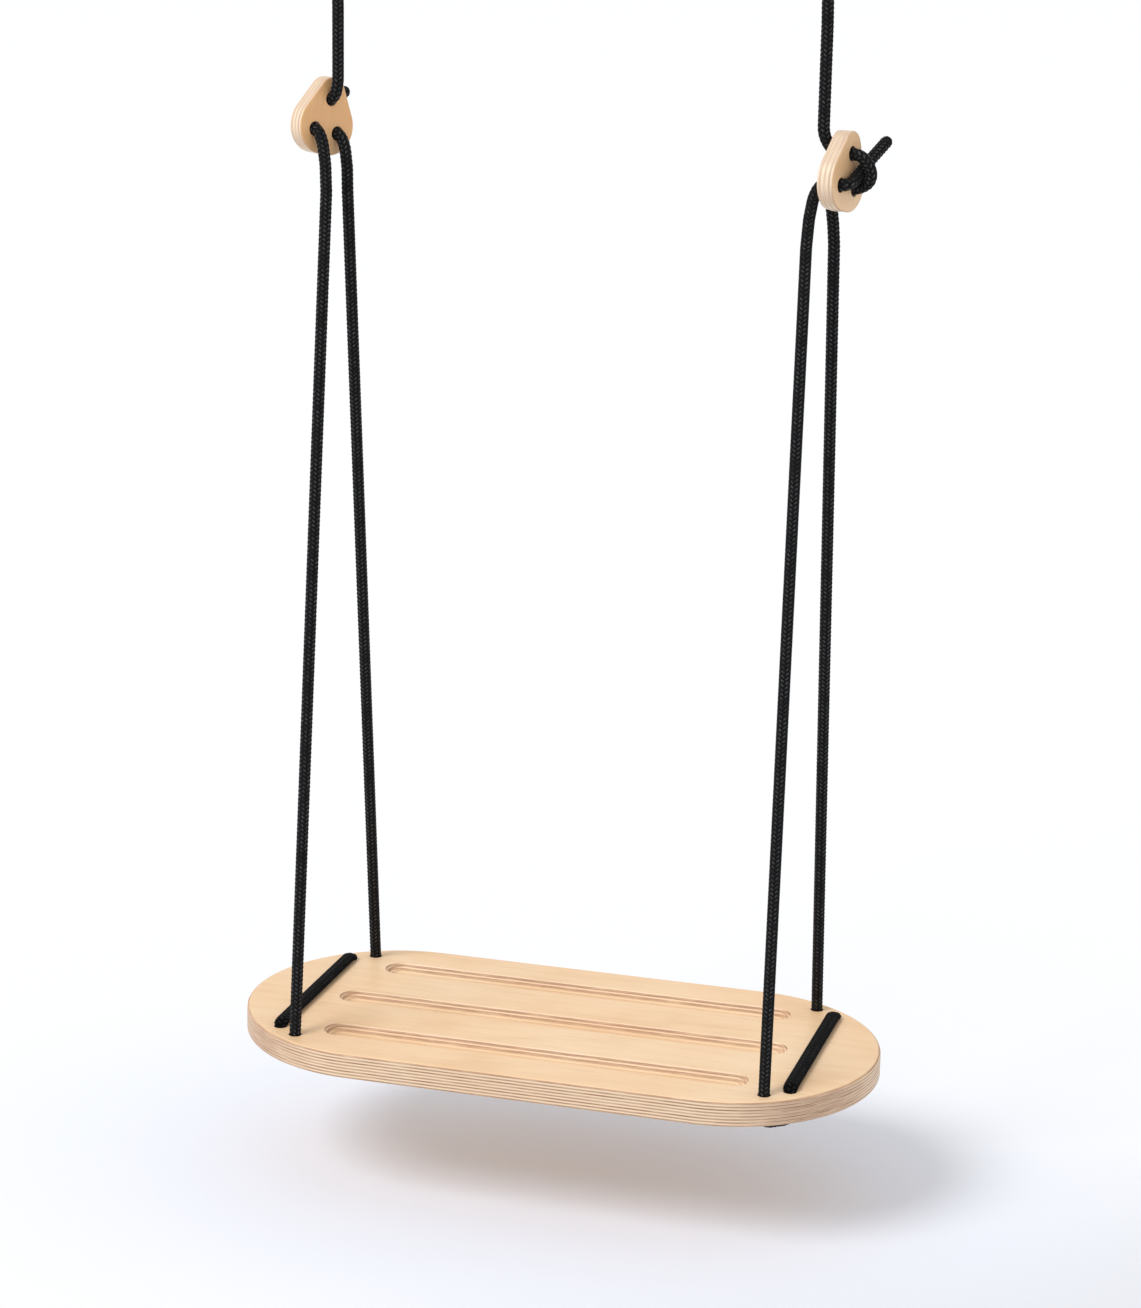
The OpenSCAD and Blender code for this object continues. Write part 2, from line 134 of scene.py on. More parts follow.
def settle(piece: bpy.types.Object) -> bpy.types.Object:
    """Moves a piece's place, turn and scale into its mesh, and returns it."""
    pick(piece)
    bpy.ops.object.transform_apply(location=True, rotation=True, scale=True)
    return piece


def place(piece: bpy.types.Object, matrix: Matrix) -> bpy.types.Object:
    """Moves a settled piece by a matrix that goes into its mesh, and returns it."""
    piece.matrix_world = matrix @ piece.matrix_world
    return settle(piece)


def edit_select(piece: bpy.types.Object, kind: str, test: Callable) -> None:
    """Enters edit mode with only some vertices, edges or faces selected.

    Args:
        piece: The mesh to edit.
        kind: "VERT", "EDGE" or "FACE".
        test: Takes one bmesh element and says whether it is selected.
    """
    pick(piece)
    bpy.ops.object.mode_set(mode="EDIT")
    bpy.ops.mesh.select_mode(type=kind)
    bpy.ops.mesh.select_all(action="DESELECT")
    mesh = bmesh.from_edit_mesh(piece.data)
    elements = {"VERT": mesh.verts, "EDGE": mesh.edges, "FACE": mesh.faces}[kind]
    for element in elements:
        if test(element):
            element.select_set(True)
    mesh.select_flush_mode()
    bmesh.update_edit_mesh(piece.data)


def leave_edit() -> None:
    """Goes back to object mode."""
    bpy.ops.object.mode_set(mode="OBJECT")


def bevel_edges(piece: bpy.types.Object, test: Callable, width: float, steps: int = 3) -> None:
    """Rounds the edges that a test picks.

    Args:
        piece: The mesh to round.
        test: Takes one bmesh edge and says whether it is rounded.
        width: Width of the rounding in metres.
        steps: Number of faces across the rounding.
    """
    edit_select(piece, "EDGE", test)
    bpy.ops.mesh.bevel(offset=width, segments=steps, profile=0.5, affect="EDGES",
                       clamp_overlap=True)
    leave_edit()


def sharper_than(degrees: float) -> Callable:
    """A test for edges whose faces meet at more than an angle."""
    limit = math.radians(degrees)
    return lambda e: len(e.link_faces) == 2 and e.calc_face_angle(0.0) > limit


def apply_modifier(piece: bpy.types.Object, name: str) -> None:
    """Applies one modifier of a piece."""
    pick(piece)
    bpy.ops.object.modifier_apply(modifier=name)


def combine(piece: bpy.types.Object, other: bpy.types.Object, operation: str) -> None:
    """Cuts or joins a piece with another solid, which is then removed.

    Args:
        piece: The solid that stays.
        other: The solid that is used up.
        operation: "DIFFERENCE", "UNION" or "INTERSECT".
    """
    step = piece.modifiers.new("combine", "BOOLEAN")
    step.operation = operation
    step.solver = "EXACT"
    step.object = other
    apply_modifier(piece, step.name)
    bpy.data.objects.remove(other, do_unlink=True)


def smooth(piece: bpy.types.Object, degrees: float = 32.0) -> bpy.types.Object:
    """Shades a piece smooth up to an angle, with flat faces kept flat.

    Args:
        piece: The mesh to shade.
        degrees: Angle above which an edge stays sharp.

    Returns:
        The same piece.
    """
    pick(piece)
    bpy.ops.object.shade_smooth_by_angle(angle=math.radians(degrees), keep_sharp_edges=False)
    step = piece.modifiers.new("flat_faces", "WEIGHTED_NORMAL")
    step.keep_sharp = True
    apply_modifier(piece, step.name)
    return piece


def lathe(name: str, profile: Sequence[tuple[float, float]], axis: Axis, centre: Sequence[float],
          steps: int = 64, turn: float = 360.0, start: float = 0.0) -> bpy.types.Object:
    """Turns a closed profile about an axis, as on a lathe.

    Args:
        name: Name of the new piece.
        profile: Points (distance from the axis, place along it) in millimetres.
        axis: Axis that it is turned about.
        centre: Point of the axis that the profile's places count from, in metres.
        steps: Number of steps round the axis.
        turn: Angle turned, in degrees, clockwise about the axis.
        start: Angle that the turning starts at, in degrees.

    Returns:
        The turned piece.
    """
    deselect()
    bpy.ops.mesh.primitive_plane_add(size=MM, location=(0, 0, 0))
    piece = named(name)
    first = Vector((profile[0][0] * MM, 0, profile[0][1] * MM))
    bpy.ops.object.mode_set(mode="EDIT")
    bpy.ops.mesh.select_mode(type="VERT")
    bpy.ops.mesh.select_all(action="SELECT")
    bpy.ops.mesh.merge(type="CENTER")
    bpy.ops.transform.translate(value=first)
    whole = turn >= 360.0
    on_axis = profile[0][0] == 0 and profile[-1][0] == 0
    onwards = list(profile[1:]) + ([] if on_axis else [profile[0]])
    for before, after in zip(profile, onwards):
        step = Vector(((after[0] - before[0]) * MM, 0, (after[1] - before[1]) * MM))
        bpy.ops.mesh.extrude_region_move(TRANSFORM_OT_translate={"value": step})
    bpy.ops.mesh.select_all(action="SELECT")
    bpy.ops.mesh.remove_doubles(threshold=1e-7)
    bpy.ops.mesh.select_all(action="SELECT")
    if not whole:
        bpy.ops.mesh.edge_face_add()
    bpy.ops.mesh.spin(steps=steps, angle=math.radians(turn), center=(0, 0, 0), axis=(0, 0, 1),
                      use_auto_merge=whole)
    bpy.ops.mesh.select_all(action="SELECT")
    bpy.ops.mesh.remove_doubles(threshold=1e-7)
    bpy.ops.mesh.normals_make_consistent(inside=False)
    leave_edit()
    piece.matrix_world = (Matrix.Translation(Vector(centre))
                          @ Vector((0, 0, 1)).rotation_difference(Vector(axis.value))
                          .to_matrix().to_4x4() @ Matrix.Rotation(math.radians(start), 4, "Z"))
    return settle(piece)


def block(name: str, low: Sequence[float], high: Sequence[float]) -> bpy.types.Object:
    """A box between two corners, in metres."""
    deselect()
    low, high = Vector(low), Vector(high)
    bpy.ops.mesh.primitive_cube_add(size=1, location=(low + high) / 2, scale=high - low)
    return settle(named(name))


def prism(name: str, sides: int, radius: float, depth: float, axis: Axis,
          centre: Sequence[float], turn: float = 0.0) -> bpy.types.Object:
    """A straight prism or cylinder about an axis.

    Args:
        name: Name of the new piece.
        sides: Number of its sides.
        radius: Distance of its corners from the axis, in metres.
        depth: Length along the axis, in metres.
        axis: Its axis.
        centre: Its middle, in metres.
        turn: Turn about its own axis, in radians.

    Returns:
        The prism.
    """
    deselect()
    bpy.ops.mesh.primitive_cylinder_add(vertices=sides, radius=radius, depth=depth,
                                        end_fill_type="NGON")
    piece = named(name)
    piece.matrix_world = (Matrix.Translation(Vector(centre))
                          @ Vector((0, 0, 1)).rotation_difference(Vector(axis.value))
                          .to_matrix().to_4x4() @ Matrix.Rotation(turn, 4, "Z"))
    return settle(piece)


def hull_of(name: str, parts: Sequence[bpy.types.Object]) -> bpy.types.Object:
    """Joins solids and replaces them by their convex hull.

    Args:
        name: Name of the new piece.
        parts: The solids, which are used up.

    Returns:
        The hull, with its flat faces whole.
    """
    pick(*parts)
    if len(parts) > 1:
        bpy.ops.object.join()
    piece = named(name)
    bpy.ops.object.mode_set(mode="EDIT")
    bpy.ops.mesh.select_mode(type="VERT")
    bpy.ops.mesh.select_all(action="SELECT")
    bpy.ops.mesh.convex_hull()
    bpy.ops.mesh.select_all(action="SELECT")
    bpy.ops.mesh.dissolve_limited(angle_limit=math.radians(0.5))
    bpy.ops.mesh.select_all(action="SELECT")
    bpy.ops.mesh.normals_make_consistent(inside=False)
    leave_edit()
    return piece


def drill(piece: bpy.types.Object, radius: float, axis: Axis, centre: Sequence[float],
          depth: float, sides: int = 48) -> None:
    """Drills a round hole through a piece.

    Args:
        piece: The piece.
        radius: Radius of the hole in metres.
        axis: Axis of the hole.
        centre: Middle of the hole in metres.
        depth: Length of the cut in metres.
        sides: Number of faces round the hole.
    """
    combine(piece, prism("drill", sides, radius, depth, axis, centre), "DIFFERENCE")


def joined(name: str, parts: Sequence[bpy.types.Object]) -> bpy.types.Object:
    """Joins pieces into one object without changing their shapes."""
    pick(*parts)
    bpy.ops.object.join()
    return named(name)


# ---------------------------------------------------------------- finishes


@dataclass
class NodeBook:
    """Adds and joins the nodes of one material or node group.

    Attributes:
        tree: The node tree that is filled.
    """

    tree: bpy.types.NodeTree
    column: int = 0

    def add(self, kind: str, **values) -> bpy.types.Node:
        """Adds a node and sets its properties and plain inputs.

        Args:
            kind: The node's type.
            **values: Properties by name, or inputs by in_ and their name.

        Returns:
            The new node.
        """
        node = self.tree.nodes.new(kind)
        self.column += 1
        node.location = (180 * (self.column % 12), -220 * (self.column // 12))
        for key, value in values.items():
            if key.startswith("in_"):
                node.inputs[self.socket_name(key)].default_value = value
            else:
                setattr(node, key, value)
        return node

    @staticmethod
    def socket_name(key: str) -> int | str:
        """The socket that an in_ key names: a number, or words joined by underscores."""
        word = key[3:]
        return int(word) if word.isdigit() else word.replace("_", " ")

    def join(self, source: bpy.types.NodeSocket, target: bpy.types.NodeSocket) -> None:
        """Joins two sockets."""
        self.tree.links.new(source, target)

    def math(self, operation: str, first, second=0.0, clamp: bool = False):
        """Adds a Math node on sockets or numbers and returns its output."""
        node = self.add("ShaderNodeMath", operation=operation, use_clamp=clamp)
        for slot, value in zip(node.inputs, (first, second)):
            if isinstance(value, bpy.types.NodeSocket):
                self.join(value, slot)
            else:
                slot.default_value = value
        return node.outputs[0]

    def blend(self, factor, first, second, mode: str = "MIX"):
        """Adds a colour Mix node on sockets or colours and returns its output."""
        node = self.add("ShaderNodeMix", data_type="RGBA", blend_type=mode)
        for slot, value in zip((node.inputs[0], node.inputs[6], node.inputs[7]),
                               (factor, first, second)):
            if isinstance(value, bpy.types.NodeSocket):
                self.join(value, slot)
            else:
                slot.default_value = value
        return node.outputs[2]

    def noise(self, vector, scale: float, detail: float = 3.0, rough: float = 0.55,
              distortion: float = 0.0):
        """Adds a Noise Texture on a vector socket and returns its value output."""
        node = self.add("ShaderNodeTexNoise", in_Scale=scale, in_Detail=detail,
                        in_Roughness=rough, in_Distortion=distortion)
        self.join(vector, node.inputs["Vector"])
        return node.outputs[0]

    def scaled(self, vector, factors: Sequence[float]):
        """Multiplies a vector socket by three numbers and returns the output."""
        node = self.add("ShaderNodeVectorMath", operation="MULTIPLY")
        self.join(vector, node.inputs[0])
        node.inputs[1].default_value = factors
        return node.outputs[0]

    def ramp(self, value, stops: Sequence[tuple[float, tuple]]):
        """Adds a colour ramp on a value socket and returns its colour output."""
        node = self.add("ShaderNodeValToRGB")
        band = node.color_ramp
        while len(band.elements) < len(stops):
            band.elements.new(0.5)
        for element, (at, colour) in zip(band.elements, stops):
            element.position = at
            element.color = colour
        self.join(value, node.inputs[0])
        return node.outputs[0]

    def smoothstep(self, value, low: float, high: float):
        """Maps a value socket smoothly from low..high to 0..1."""
        node = self.add("ShaderNodeMapRange", interpolation_type="SMOOTHSTEP",
                        in_From_Min=low, in_From_Max=high)
        self.join(value, node.inputs["Value"])
        return node.outputs[0]


def new_group(name: str, inputs: Iterable[tuple], outputs: Iterable[tuple]):
    """Starts a shader node group.

    Args:
        name: Name of the group.
        inputs: Tuples (name, socket type, default value or None).
        outputs: Tuples (name, socket type).

    Returns:
        The group, its book, its input node and its output node.
    """
    group = bpy.data.node_groups.new(name, "ShaderNodeTree")
    for label, kind, default in inputs:
        socket = group.interface.new_socket(label, in_out="INPUT", socket_type=kind)
        if default is not None:
            socket.default_value = default
    for label, kind in outputs:
        group.interface.new_socket(label, in_out="OUTPUT", socket_type=kind)
    book = NodeBook(group)
    return group, book, book.add("NodeGroupInput"), book.add("NodeGroupOutput")


def plywood_group() -> bpy.types.NodeTree:
    """Builds the group that draws plies, glue lines and birch grain.

    The plies lie across the Z of the Position input, in metres, with the middle ply at 0.
    Grain runs along X in the even plies and along Y in the odd ones. Where a surface cuts a
    ply across its grain, it shows darker end grain.

    Returns:
        The node group, with outputs Color, Roughness and Height.
    """
    group, b, given, out = new_group(
        "birch_plywood",
        [("Position", "NodeSocketVector", None), ("Normal", "NodeSocketVector", None),
         ("Ply", "NodeSocketFloat", 0.0014), ("Warmth", "NodeSocketFloat", 0.5),
         ("Contrast", "NodeSocketFloat", 1.0), ("Cream", "NodeSocketFloat", 0.0)],
        [("Color", "NodeSocketColor"), ("Roughness", "NodeSocketFloat"),
         ("Height", "NodeSocketFloat")])
    position, normal = given.outputs["Position"], given.outputs["Normal"]
    split = b.add("ShaderNodeSeparateXYZ")
    b.join(position, split.inputs[0])
    facing = b.add("ShaderNodeSeparateXYZ")
    b.join(normal, facing.inputs[0])

    wander = b.noise(b.scaled(position, (6.0, 6.0, 0.5)), 1.0, 2.0)
    layer = b.math("DIVIDE", split.outputs[2], given.outputs["Ply"])
    layer = b.math("ADD", layer, b.math("MULTIPLY", b.math("SUBTRACT", wander, 0.5), 0.22))
    layer = b.math("ADD", layer, 40.5)
    index = b.math("FLOOR", layer)
    within = b.math("FRACT", layer)
    odd = b.math("FLOORED_MODULO", index, 2.0)
    even = b.math("SUBTRACT", 1.0, odd)

    shade_seed = b.add("ShaderNodeTexWhiteNoise", noise_dimensions="1D")
    b.join(index, shade_seed.inputs["W"])

    along_x = b.scaled(position, (9.0, 230.0, 230.0))
    along_y = b.scaled(position, (230.0, 9.0, 230.0))
    fibres_x = b.noise(along_x, 1.6, 5.0, 0.62, 0.25)
    fibres_y = b.noise(along_y, 1.6, 5.0, 0.62, 0.25)
    fibre = b.math("ADD", b.math("MULTIPLY", fibres_x, even), b.math("MULTIPLY", fibres_y, odd))

    # Broad growth-ring figure of a rotary-cut veneer
    bands = b.scaled(position, (2.3, 15.0, 4.0))
    warp = b.noise(bands, 1.0, 2.0, 0.5, 0.6)
    rings = b.math("SINE", b.math("MULTIPLY", warp, 46.0))
    figure = b.math("MULTIPLY_ADD", rings, 0.5)
    figure.node.inputs[2].default_value = 0.5
    clouds = b.noise(b.scaled(position, (7.0, 9.0, 9.0)), 1.0, 3.0)

    # How far the surface cuts this ply's grain across
    cross_x = b.math("MULTIPLY", b.math("ABSOLUTE", facing.outputs[0]), even)
    cross_y = b.math("MULTIPLY", b.math("ABSOLUTE", facing.outputs[1]), odd)
    end_grain = b.math("ADD", cross_x, cross_y, clamp=True)
    cut = b.smoothstep(end_grain, 0.12, 0.75)
    pores = b.noise(b.scaled(position, (900.0, 900.0, 900.0)), 1.0, 2.0)

    pale = b.blend(given.outputs["Warmth"], (0.86, 0.635, 0.41, 1), (0.90, 0.50, 0.21, 1))
    honey = b.blend(given.outputs["Warmth"], (0.77, 0.51, 0.285, 1), (0.80, 0.41, 0.16, 1))
    face = b.blend(b.math("MULTIPLY", figure, 0.26), pale, honey)
    face = b.blend(b.math("MULTIPLY", b.smoothstep(clouds, 0.52, 0.30), 0.60), face, honey)
    face = b.blend(b.math("MULTIPLY", b.smoothstep(clouds, 0.48, 0.72), 0.30), face,
                   (0.92, 0.73, 0.50, 1))
    streaks = b.smoothstep(fibre, 0.50, 0.66)
    face = b.blend(b.math("MULTIPLY", streaks, 0.13), face, (0.47, 0.285, 0.14, 1))

    # On a cut edge each ply shows a pale body, and a dark core where its grain is cut across
    slope = b.math("SUBTRACT", 1.0, b.math("ABSOLUTE", facing.outputs[2]))
    steep = b.smoothstep(slope, 0.15, 0.70)
    face = b.blend(b.math("MULTIPLY", steep, given.outputs["Cream"]), face,
                   (0.90, 0.755, 0.575, 1))
    edge = b.math("ABSOLUTE", b.math("SUBTRACT", within, 0.5))
    broken = b.noise(b.scaled(position, (42.0, 42.0, 900.0)), 1.0, 3.0)
    unbroken = b.math("MULTIPLY_ADD", b.smoothstep(broken, 0.25, 0.62), 0.62)
    unbroken.node.inputs[2].default_value = 0.38
    core = b.math("MULTIPLY", cut, b.smoothstep(edge, 0.40, 0.24))
    core = b.math("MULTIPLY", b.math("MULTIPLY", core, unbroken), given.outputs["Contrast"])
    tint = b.math("MULTIPLY_ADD", shade_seed.outputs[0], 0.35)
    tint.node.inputs[2].default_value = 0.68
    wood = b.blend(b.math("MULTIPLY", cut, 0.14), face, (0.62, 0.38, 0.24, 1))
    wood = b.blend(b.math("MULTIPLY", core, tint), wood, (0.27, 0.115, 0.06, 1))

    # Thin dark glue lines, a little broken along their length
    wider = b.math("ADD", edge, b.math("MULTIPLY", b.smoothstep(slope, 0.0, 0.30), 0.12))
    line = b.math("MULTIPLY", b.smoothstep(wider, 0.455, 0.51), unbroken)
    line = b.math("MULTIPLY", line, b.smoothstep(slope, 0.002, 0.05))
    line = b.math("MULTIPLY", line, b.math("SUBTRACT", 1.0, b.math("MULTIPLY", steep, 0.55)))
    line = b.math("MULTIPLY", line, given.outputs["Contrast"])
    wood = b.blend(b.math("MULTIPLY", line, 0.92), wood, (0.26, 0.075, 0.035, 1))
    band = b.math("MULTIPLY", b.smoothstep(slope, 0.002, 0.04), odd)
    band = b.math("MULTIPLY", band, b.math("SUBTRACT", 1.0, steep))
    wood = b.blend(b.math("MULTIPLY", band, 0.14), wood, (0.66, 0.37, 0.22, 1))
    b.join(wood, out.inputs["Color"])
    rough = b.math("ADD", b.math("MULTIPLY", streaks, 0.10), b.math("MULTIPLY", cut, 0.16))
    b.join(b.math("ADD", rough, 0.42), out.inputs["Roughness"])
    height = b.math("SUBTRACT", b.math("MULTIPLY", fibre, 0.5), b.math("MULTIPLY", line, 0.5))
    height = b.math("SUBTRACT", height, b.math("MULTIPLY", b.math("MULTIPLY", pores, cut), 0.4))
    b.join(height, out.inputs["Height"])
    return group


def metal_wear_group() -> bpy.types.NodeTree:
    """Builds the group for brushed, faintly stained and scratched metal.

    Returns:
        The node group, with outputs Tint, Roughness and Height.
    """
    group, b, given, out = new_group(
        "metal_wear",
        [("Base", "NodeSocketColor", (0.6, 0.6, 0.6, 1)),
         ("Stain", "NodeSocketColor", (0.4, 0.4, 0.4, 1)),
         ("Roughness", "NodeSocketFloat", 0.35), ("Stain Amount", "NodeSocketFloat", 0.4)],
        [("Tint", "NodeSocketColor"), ("Roughness", "NodeSocketFloat"),
         ("Height", "NodeSocketFloat")])
    place_of = b.add("ShaderNodeTexCoord").outputs["Object"]
    brush = b.noise(b.scaled(place_of, (260.0, 1900.0, 1900.0)), 1.0, 3.0)
    spangle = b.add("ShaderNodeTexVoronoi", feature="F1", in_Scale=170.0)
    b.join(place_of, spangle.inputs["Vector"])
    cloud = b.noise(place_of, 55.0, 4.0, 0.6, 0.4)
    grey = b.add("ShaderNodeSeparateColor")
    b.join(spangle.outputs["Color"], grey.inputs[0])
    mark = b.math("MULTIPLY", b.smoothstep(cloud, 0.45, 0.68), given.outputs["Stain Amount"])
    tint = b.blend(mark, given.outputs["Base"], given.outputs["Stain"])
    facet = b.math("MULTIPLY_ADD", grey.outputs[0], 0.16)
    facet.node.inputs[2].default_value = 0.90
    mixed = b.add("ShaderNodeVectorMath", operation="SCALE")
    b.join(tint, mixed.inputs[0])
    b.join(facet, mixed.inputs["Scale"])
    b.join(mixed.outputs[0], out.inputs["Tint"])
    rough = b.math("ADD", given.outputs["Roughness"], b.math("MULTIPLY", cloud, 0.14))
    rough = b.math("ADD", rough, b.math("MULTIPLY", b.math("SUBTRACT", brush, 0.5), 0.12))
    b.join(rough, out.inputs["Roughness"])
    b.join(b.math("ADD", b.math("MULTIPLY", brush, 0.4), b.math("MULTIPLY", cloud, 0.5)),
           out.inputs["Height"])
    return group


@dataclass(frozen=True)
class Finish:
    """A material made of the Principled shader, with a texture that its kind draws.

    Attributes:
        name: Name of the material.
    """

    name: str

    def start(self) -> tuple[bpy.types.Material, NodeBook, bpy.types.Node]:
        """Makes an empty material with its shader.

        Returns:
            The material, its book and its Principled node.
        """
        made = bpy.data.materials.new(self.name)
        made.use_nodes = True
        made.node_tree.nodes.clear()
        book = NodeBook(made.node_tree)
        shader = book.add("ShaderNodeBsdfPrincipled")
        book.join(shader.outputs[0], book.add("ShaderNodeOutputMaterial").inputs["Surface"])
        return made, book, shader

    @staticmethod
    def bump(book: NodeBook, shader: bpy.types.Node, height, depth: float,
             strength: float = 1.0) -> None:
        """Joins a height to the shader's normal.

        Args:
            book: The material's book.
            shader: The Principled node.
            height: Height socket.
            depth: Depth of the relief in metres.
            strength: Strength of the bump.
        """
        node = book.add("ShaderNodeBump", in_Strength=strength, in_Distance=depth)
        book.join(height, node.inputs["Height"])
        book.join(node.outputs[0], shader.inputs["Normal"])


@dataclass(frozen=True)
class PlywoodFinish(Finish):
    """Oiled birch plywood.

    Attributes:
        middle: A point on the board's middle plane, in metres.
        lay: Turn about X, Y, Z, in radians, that brings the board's own Z across its plies.
        ply: Thickness of one ply in metres.
        warmth: From 0, pale, to 1, honey.
        contrast: How strongly its plies and glue lines show.
        cream: How far its cut edges are paler than its faces.
    """

    middle: tuple[float, float, float] = (0.0, 0.0, 0.0)
    lay: tuple[float, float, float] = (0.0, 0.0, 0.0)
    ply: float = 0.0014
    warmth: float = 0.3
    contrast: float = 1.0
    cream: float = 0.0

    def build(self, group: bpy.types.NodeTree) -> bpy.types.Material:
        """Makes the material round the plywood group."""
        made, b, shader = self.start()
        coords = b.add("ShaderNodeTexCoord")
        spot = b.add("ShaderNodeMapping", vector_type="TEXTURE")
        spot.inputs["Location"].default_value = self.middle
        spot.inputs["Rotation"].default_value = self.lay
        b.join(coords.outputs["Object"], spot.inputs["Vector"])
        facing = b.add("ShaderNodeMapping", vector_type="TEXTURE")
        facing.inputs["Rotation"].default_value = self.lay
        b.join(coords.outputs["Normal"], facing.inputs["Vector"])
        wood = b.add("ShaderNodeGroup")
        wood.node_tree = group
        wood.inputs["Ply"].default_value = self.ply
        wood.inputs["Warmth"].default_value = self.warmth
        wood.inputs["Contrast"].default_value = self.contrast
        wood.inputs["Cream"].default_value = self.cream
        b.join(spot.outputs[0], wood.inputs["Position"])
        b.join(facing.outputs[0], wood.inputs["Normal"])
        b.join(wood.outputs["Color"], shader.inputs["Base Color"])
        b.join(wood.outputs["Roughness"], shader.inputs["Roughness"])
        shader.inputs["Coat Weight"].default_value = 0.12
        shader.inputs["Coat Roughness"].default_value = 0.38
        self.bump(b, shader, wood.outputs["Height"], 0.00018, 0.55)
        return made


@dataclass(frozen=True)
class BraidFinish(Finish):
    """Black braided polyester, with filaments along each strand.

    Attributes:
        shine: How far the crowns of the strands catch the light: it scales the painted glints,
            the black of the crowns and the specular level.
    """

    shine: float = 1.0

    def build(self) -> bpy.types.Material:
        """Makes the material from the rope's own strand and lift attributes."""
        made, b, shader = self.start()
        strand = b.add("ShaderNodeAttribute", attribute_name="strand").outputs["Vector"]
        lift = b.add("ShaderNodeAttribute", attribute_name="lift").outputs["Fac"]
        filament = b.noise(b.scaled(strand, (11.0, 0.7, 5.0)), 1.0, 3.0, 0.6)
        place_of = b.add("ShaderNodeTexCoord").outputs["Object"]
        patch = b.noise(place_of, 90.0, 3.0)
        # Painted shade: the valleys between strands go almost black, and the crowns keep the
        # rope's black
        valley_shade = (0.0006, 0.0006, 0.0008, 1)
        black = (0.013 * self.shine, 0.0133 * self.shine, 0.0145 * self.shine, 1)
        # Painted highlight: the pale grey that the glints on the strands' crowns are painted in
        painted_glint_grey = (0.17, 0.17, 0.175, 1)
        tone = b.blend(b.smoothstep(lift, 0.50, 0.92), valley_shade, black)
        glint = b.math("MULTIPLY", b.smoothstep(lift, 0.78, 0.97),
                       b.smoothstep(filament, 0.40, 0.66))
        glint = b.math("MULTIPLY", glint, b.smoothstep(patch, 0.36, 0.56))
        tone = b.blend(b.math("MULTIPLY", glint, 0.66 * self.shine), tone, painted_glint_grey)
        b.join(tone, shader.inputs["Base Color"])
        b.join(b.math("SUBTRACT", 0.72, b.math("MULTIPLY", glint, 0.26)),
               shader.inputs["Roughness"])
        shader.inputs["Sheen Weight"].default_value = 0.02
        shader.inputs["Sheen Roughness"].default_value = 0.45
        shader.inputs["Specular IOR Level"].default_value = 0.13 * self.shine
        self.bump(b, shader, filament, 0.00022, 0.8)
        return made


@dataclass(frozen=True)
class MetalFinish(Finish):
    """Plated steel.

    Attributes:
        base: Colour of the clean metal.
        stain: Colour of its stains.
        roughness: Roughness of the clean metal.
        amount: How far stains show.
    """

    base: tuple[float, float, float, float] = (0.6, 0.6, 0.6, 1.0)
    stain: tuple[float, float, float, float] = (0.35, 0.34, 0.33, 1.0)
    roughness: float = 0.3
    amount: float = 0.4

    def build(self, group: bpy.types.NodeTree) -> bpy.types.Material:
        """Makes the material round the metal wear group."""
        made, b, shader = self.start()
        wear = b.add("ShaderNodeGroup")
        wear.node_tree = group
        wear.inputs["Base"].default_value = self.base
        wear.inputs["Stain"].default_value = self.stain
        wear.inputs["Roughness"].default_value = self.roughness
        wear.inputs["Stain Amount"].default_value = self.amount
        b.join(wear.outputs["Tint"], shader.inputs["Base Color"])
        b.join(wear.outputs["Roughness"], shader.inputs["Roughness"])
        shader.inputs["Metallic"].default_value = 1.0
        self.bump(b, shader, wear.outputs["Height"], 0.00004, 0.5)
        return made


@dataclass(frozen=True)
class TwineFinish(Finish):
    """Black waxed twine, twisted."""

    def build(self) -> bpy.types.Material:
        """Makes the material from the twine's own twist attribute."""
        made, b, shader = self.start()
        twist = b.add("ShaderNodeAttribute", attribute_name="twist").outputs["Fac"]
        place_of = b.add("ShaderNodeTexCoord").outputs["Object"]
        wax = b.noise(place_of, 420.0, 3.0)
        # Painted shade: darker in the grooves between the twisted strands, lighter on their
        # crowns
        tone = b.blend(twist, (0.006, 0.006, 0.007, 1), (0.034, 0.034, 0.037, 1))
        tone = b.blend(b.math("MULTIPLY", b.smoothstep(wax, 0.45, 0.8), 0.3), tone,
                       (0.07, 0.07, 0.072, 1))
        b.join(tone, shader.inputs["Base Color"])
        b.join(b.math("ADD", b.math("MULTIPLY", wax, 0.3), 0.24), shader.inputs["Roughness"])
        self.bump(b, shader, twist, 0.00012, 0.8)
        return made


@dataclass(frozen=True)
class NylonFinish(Finish):
    """Natural white nylon, turned."""

    def build(self) -> bpy.types.Material:
        """Makes the material with fine turning marks."""
        made, b, shader = self.start()
        place_of = b.add("ShaderNodeTexCoord").outputs["Object"]
        rings = b.noise(b.scaled(place_of, (4000.0, 90.0, 90.0)), 1.0, 2.0)
        cloud = b.noise(place_of, 240.0, 3.0)
        tone = b.blend(b.smoothstep(cloud, 0.3, 0.8), (0.80, 0.79, 0.73, 1),
                       (0.68, 0.665, 0.60, 1))
        b.join(tone, shader.inputs["Base Color"])
        b.join(b.math("ADD", b.math("MULTIPLY", rings, 0.2), 0.35), shader.inputs["Roughness"])
        shader.inputs["Subsurface Weight"].default_value = 0.1
        shader.inputs["Subsurface Scale"].default_value = 0.002
        self.bump(b, shader, rings, 0.00003, 0.5)
        return made


def dress(piece: bpy.types.Object, material: bpy.types.Material) -> None:
    """Gives a piece its only material."""
    piece.data.materials.clear()
    piece.data.materials.append(material)


# ---------------------------------------------------------------- ropes

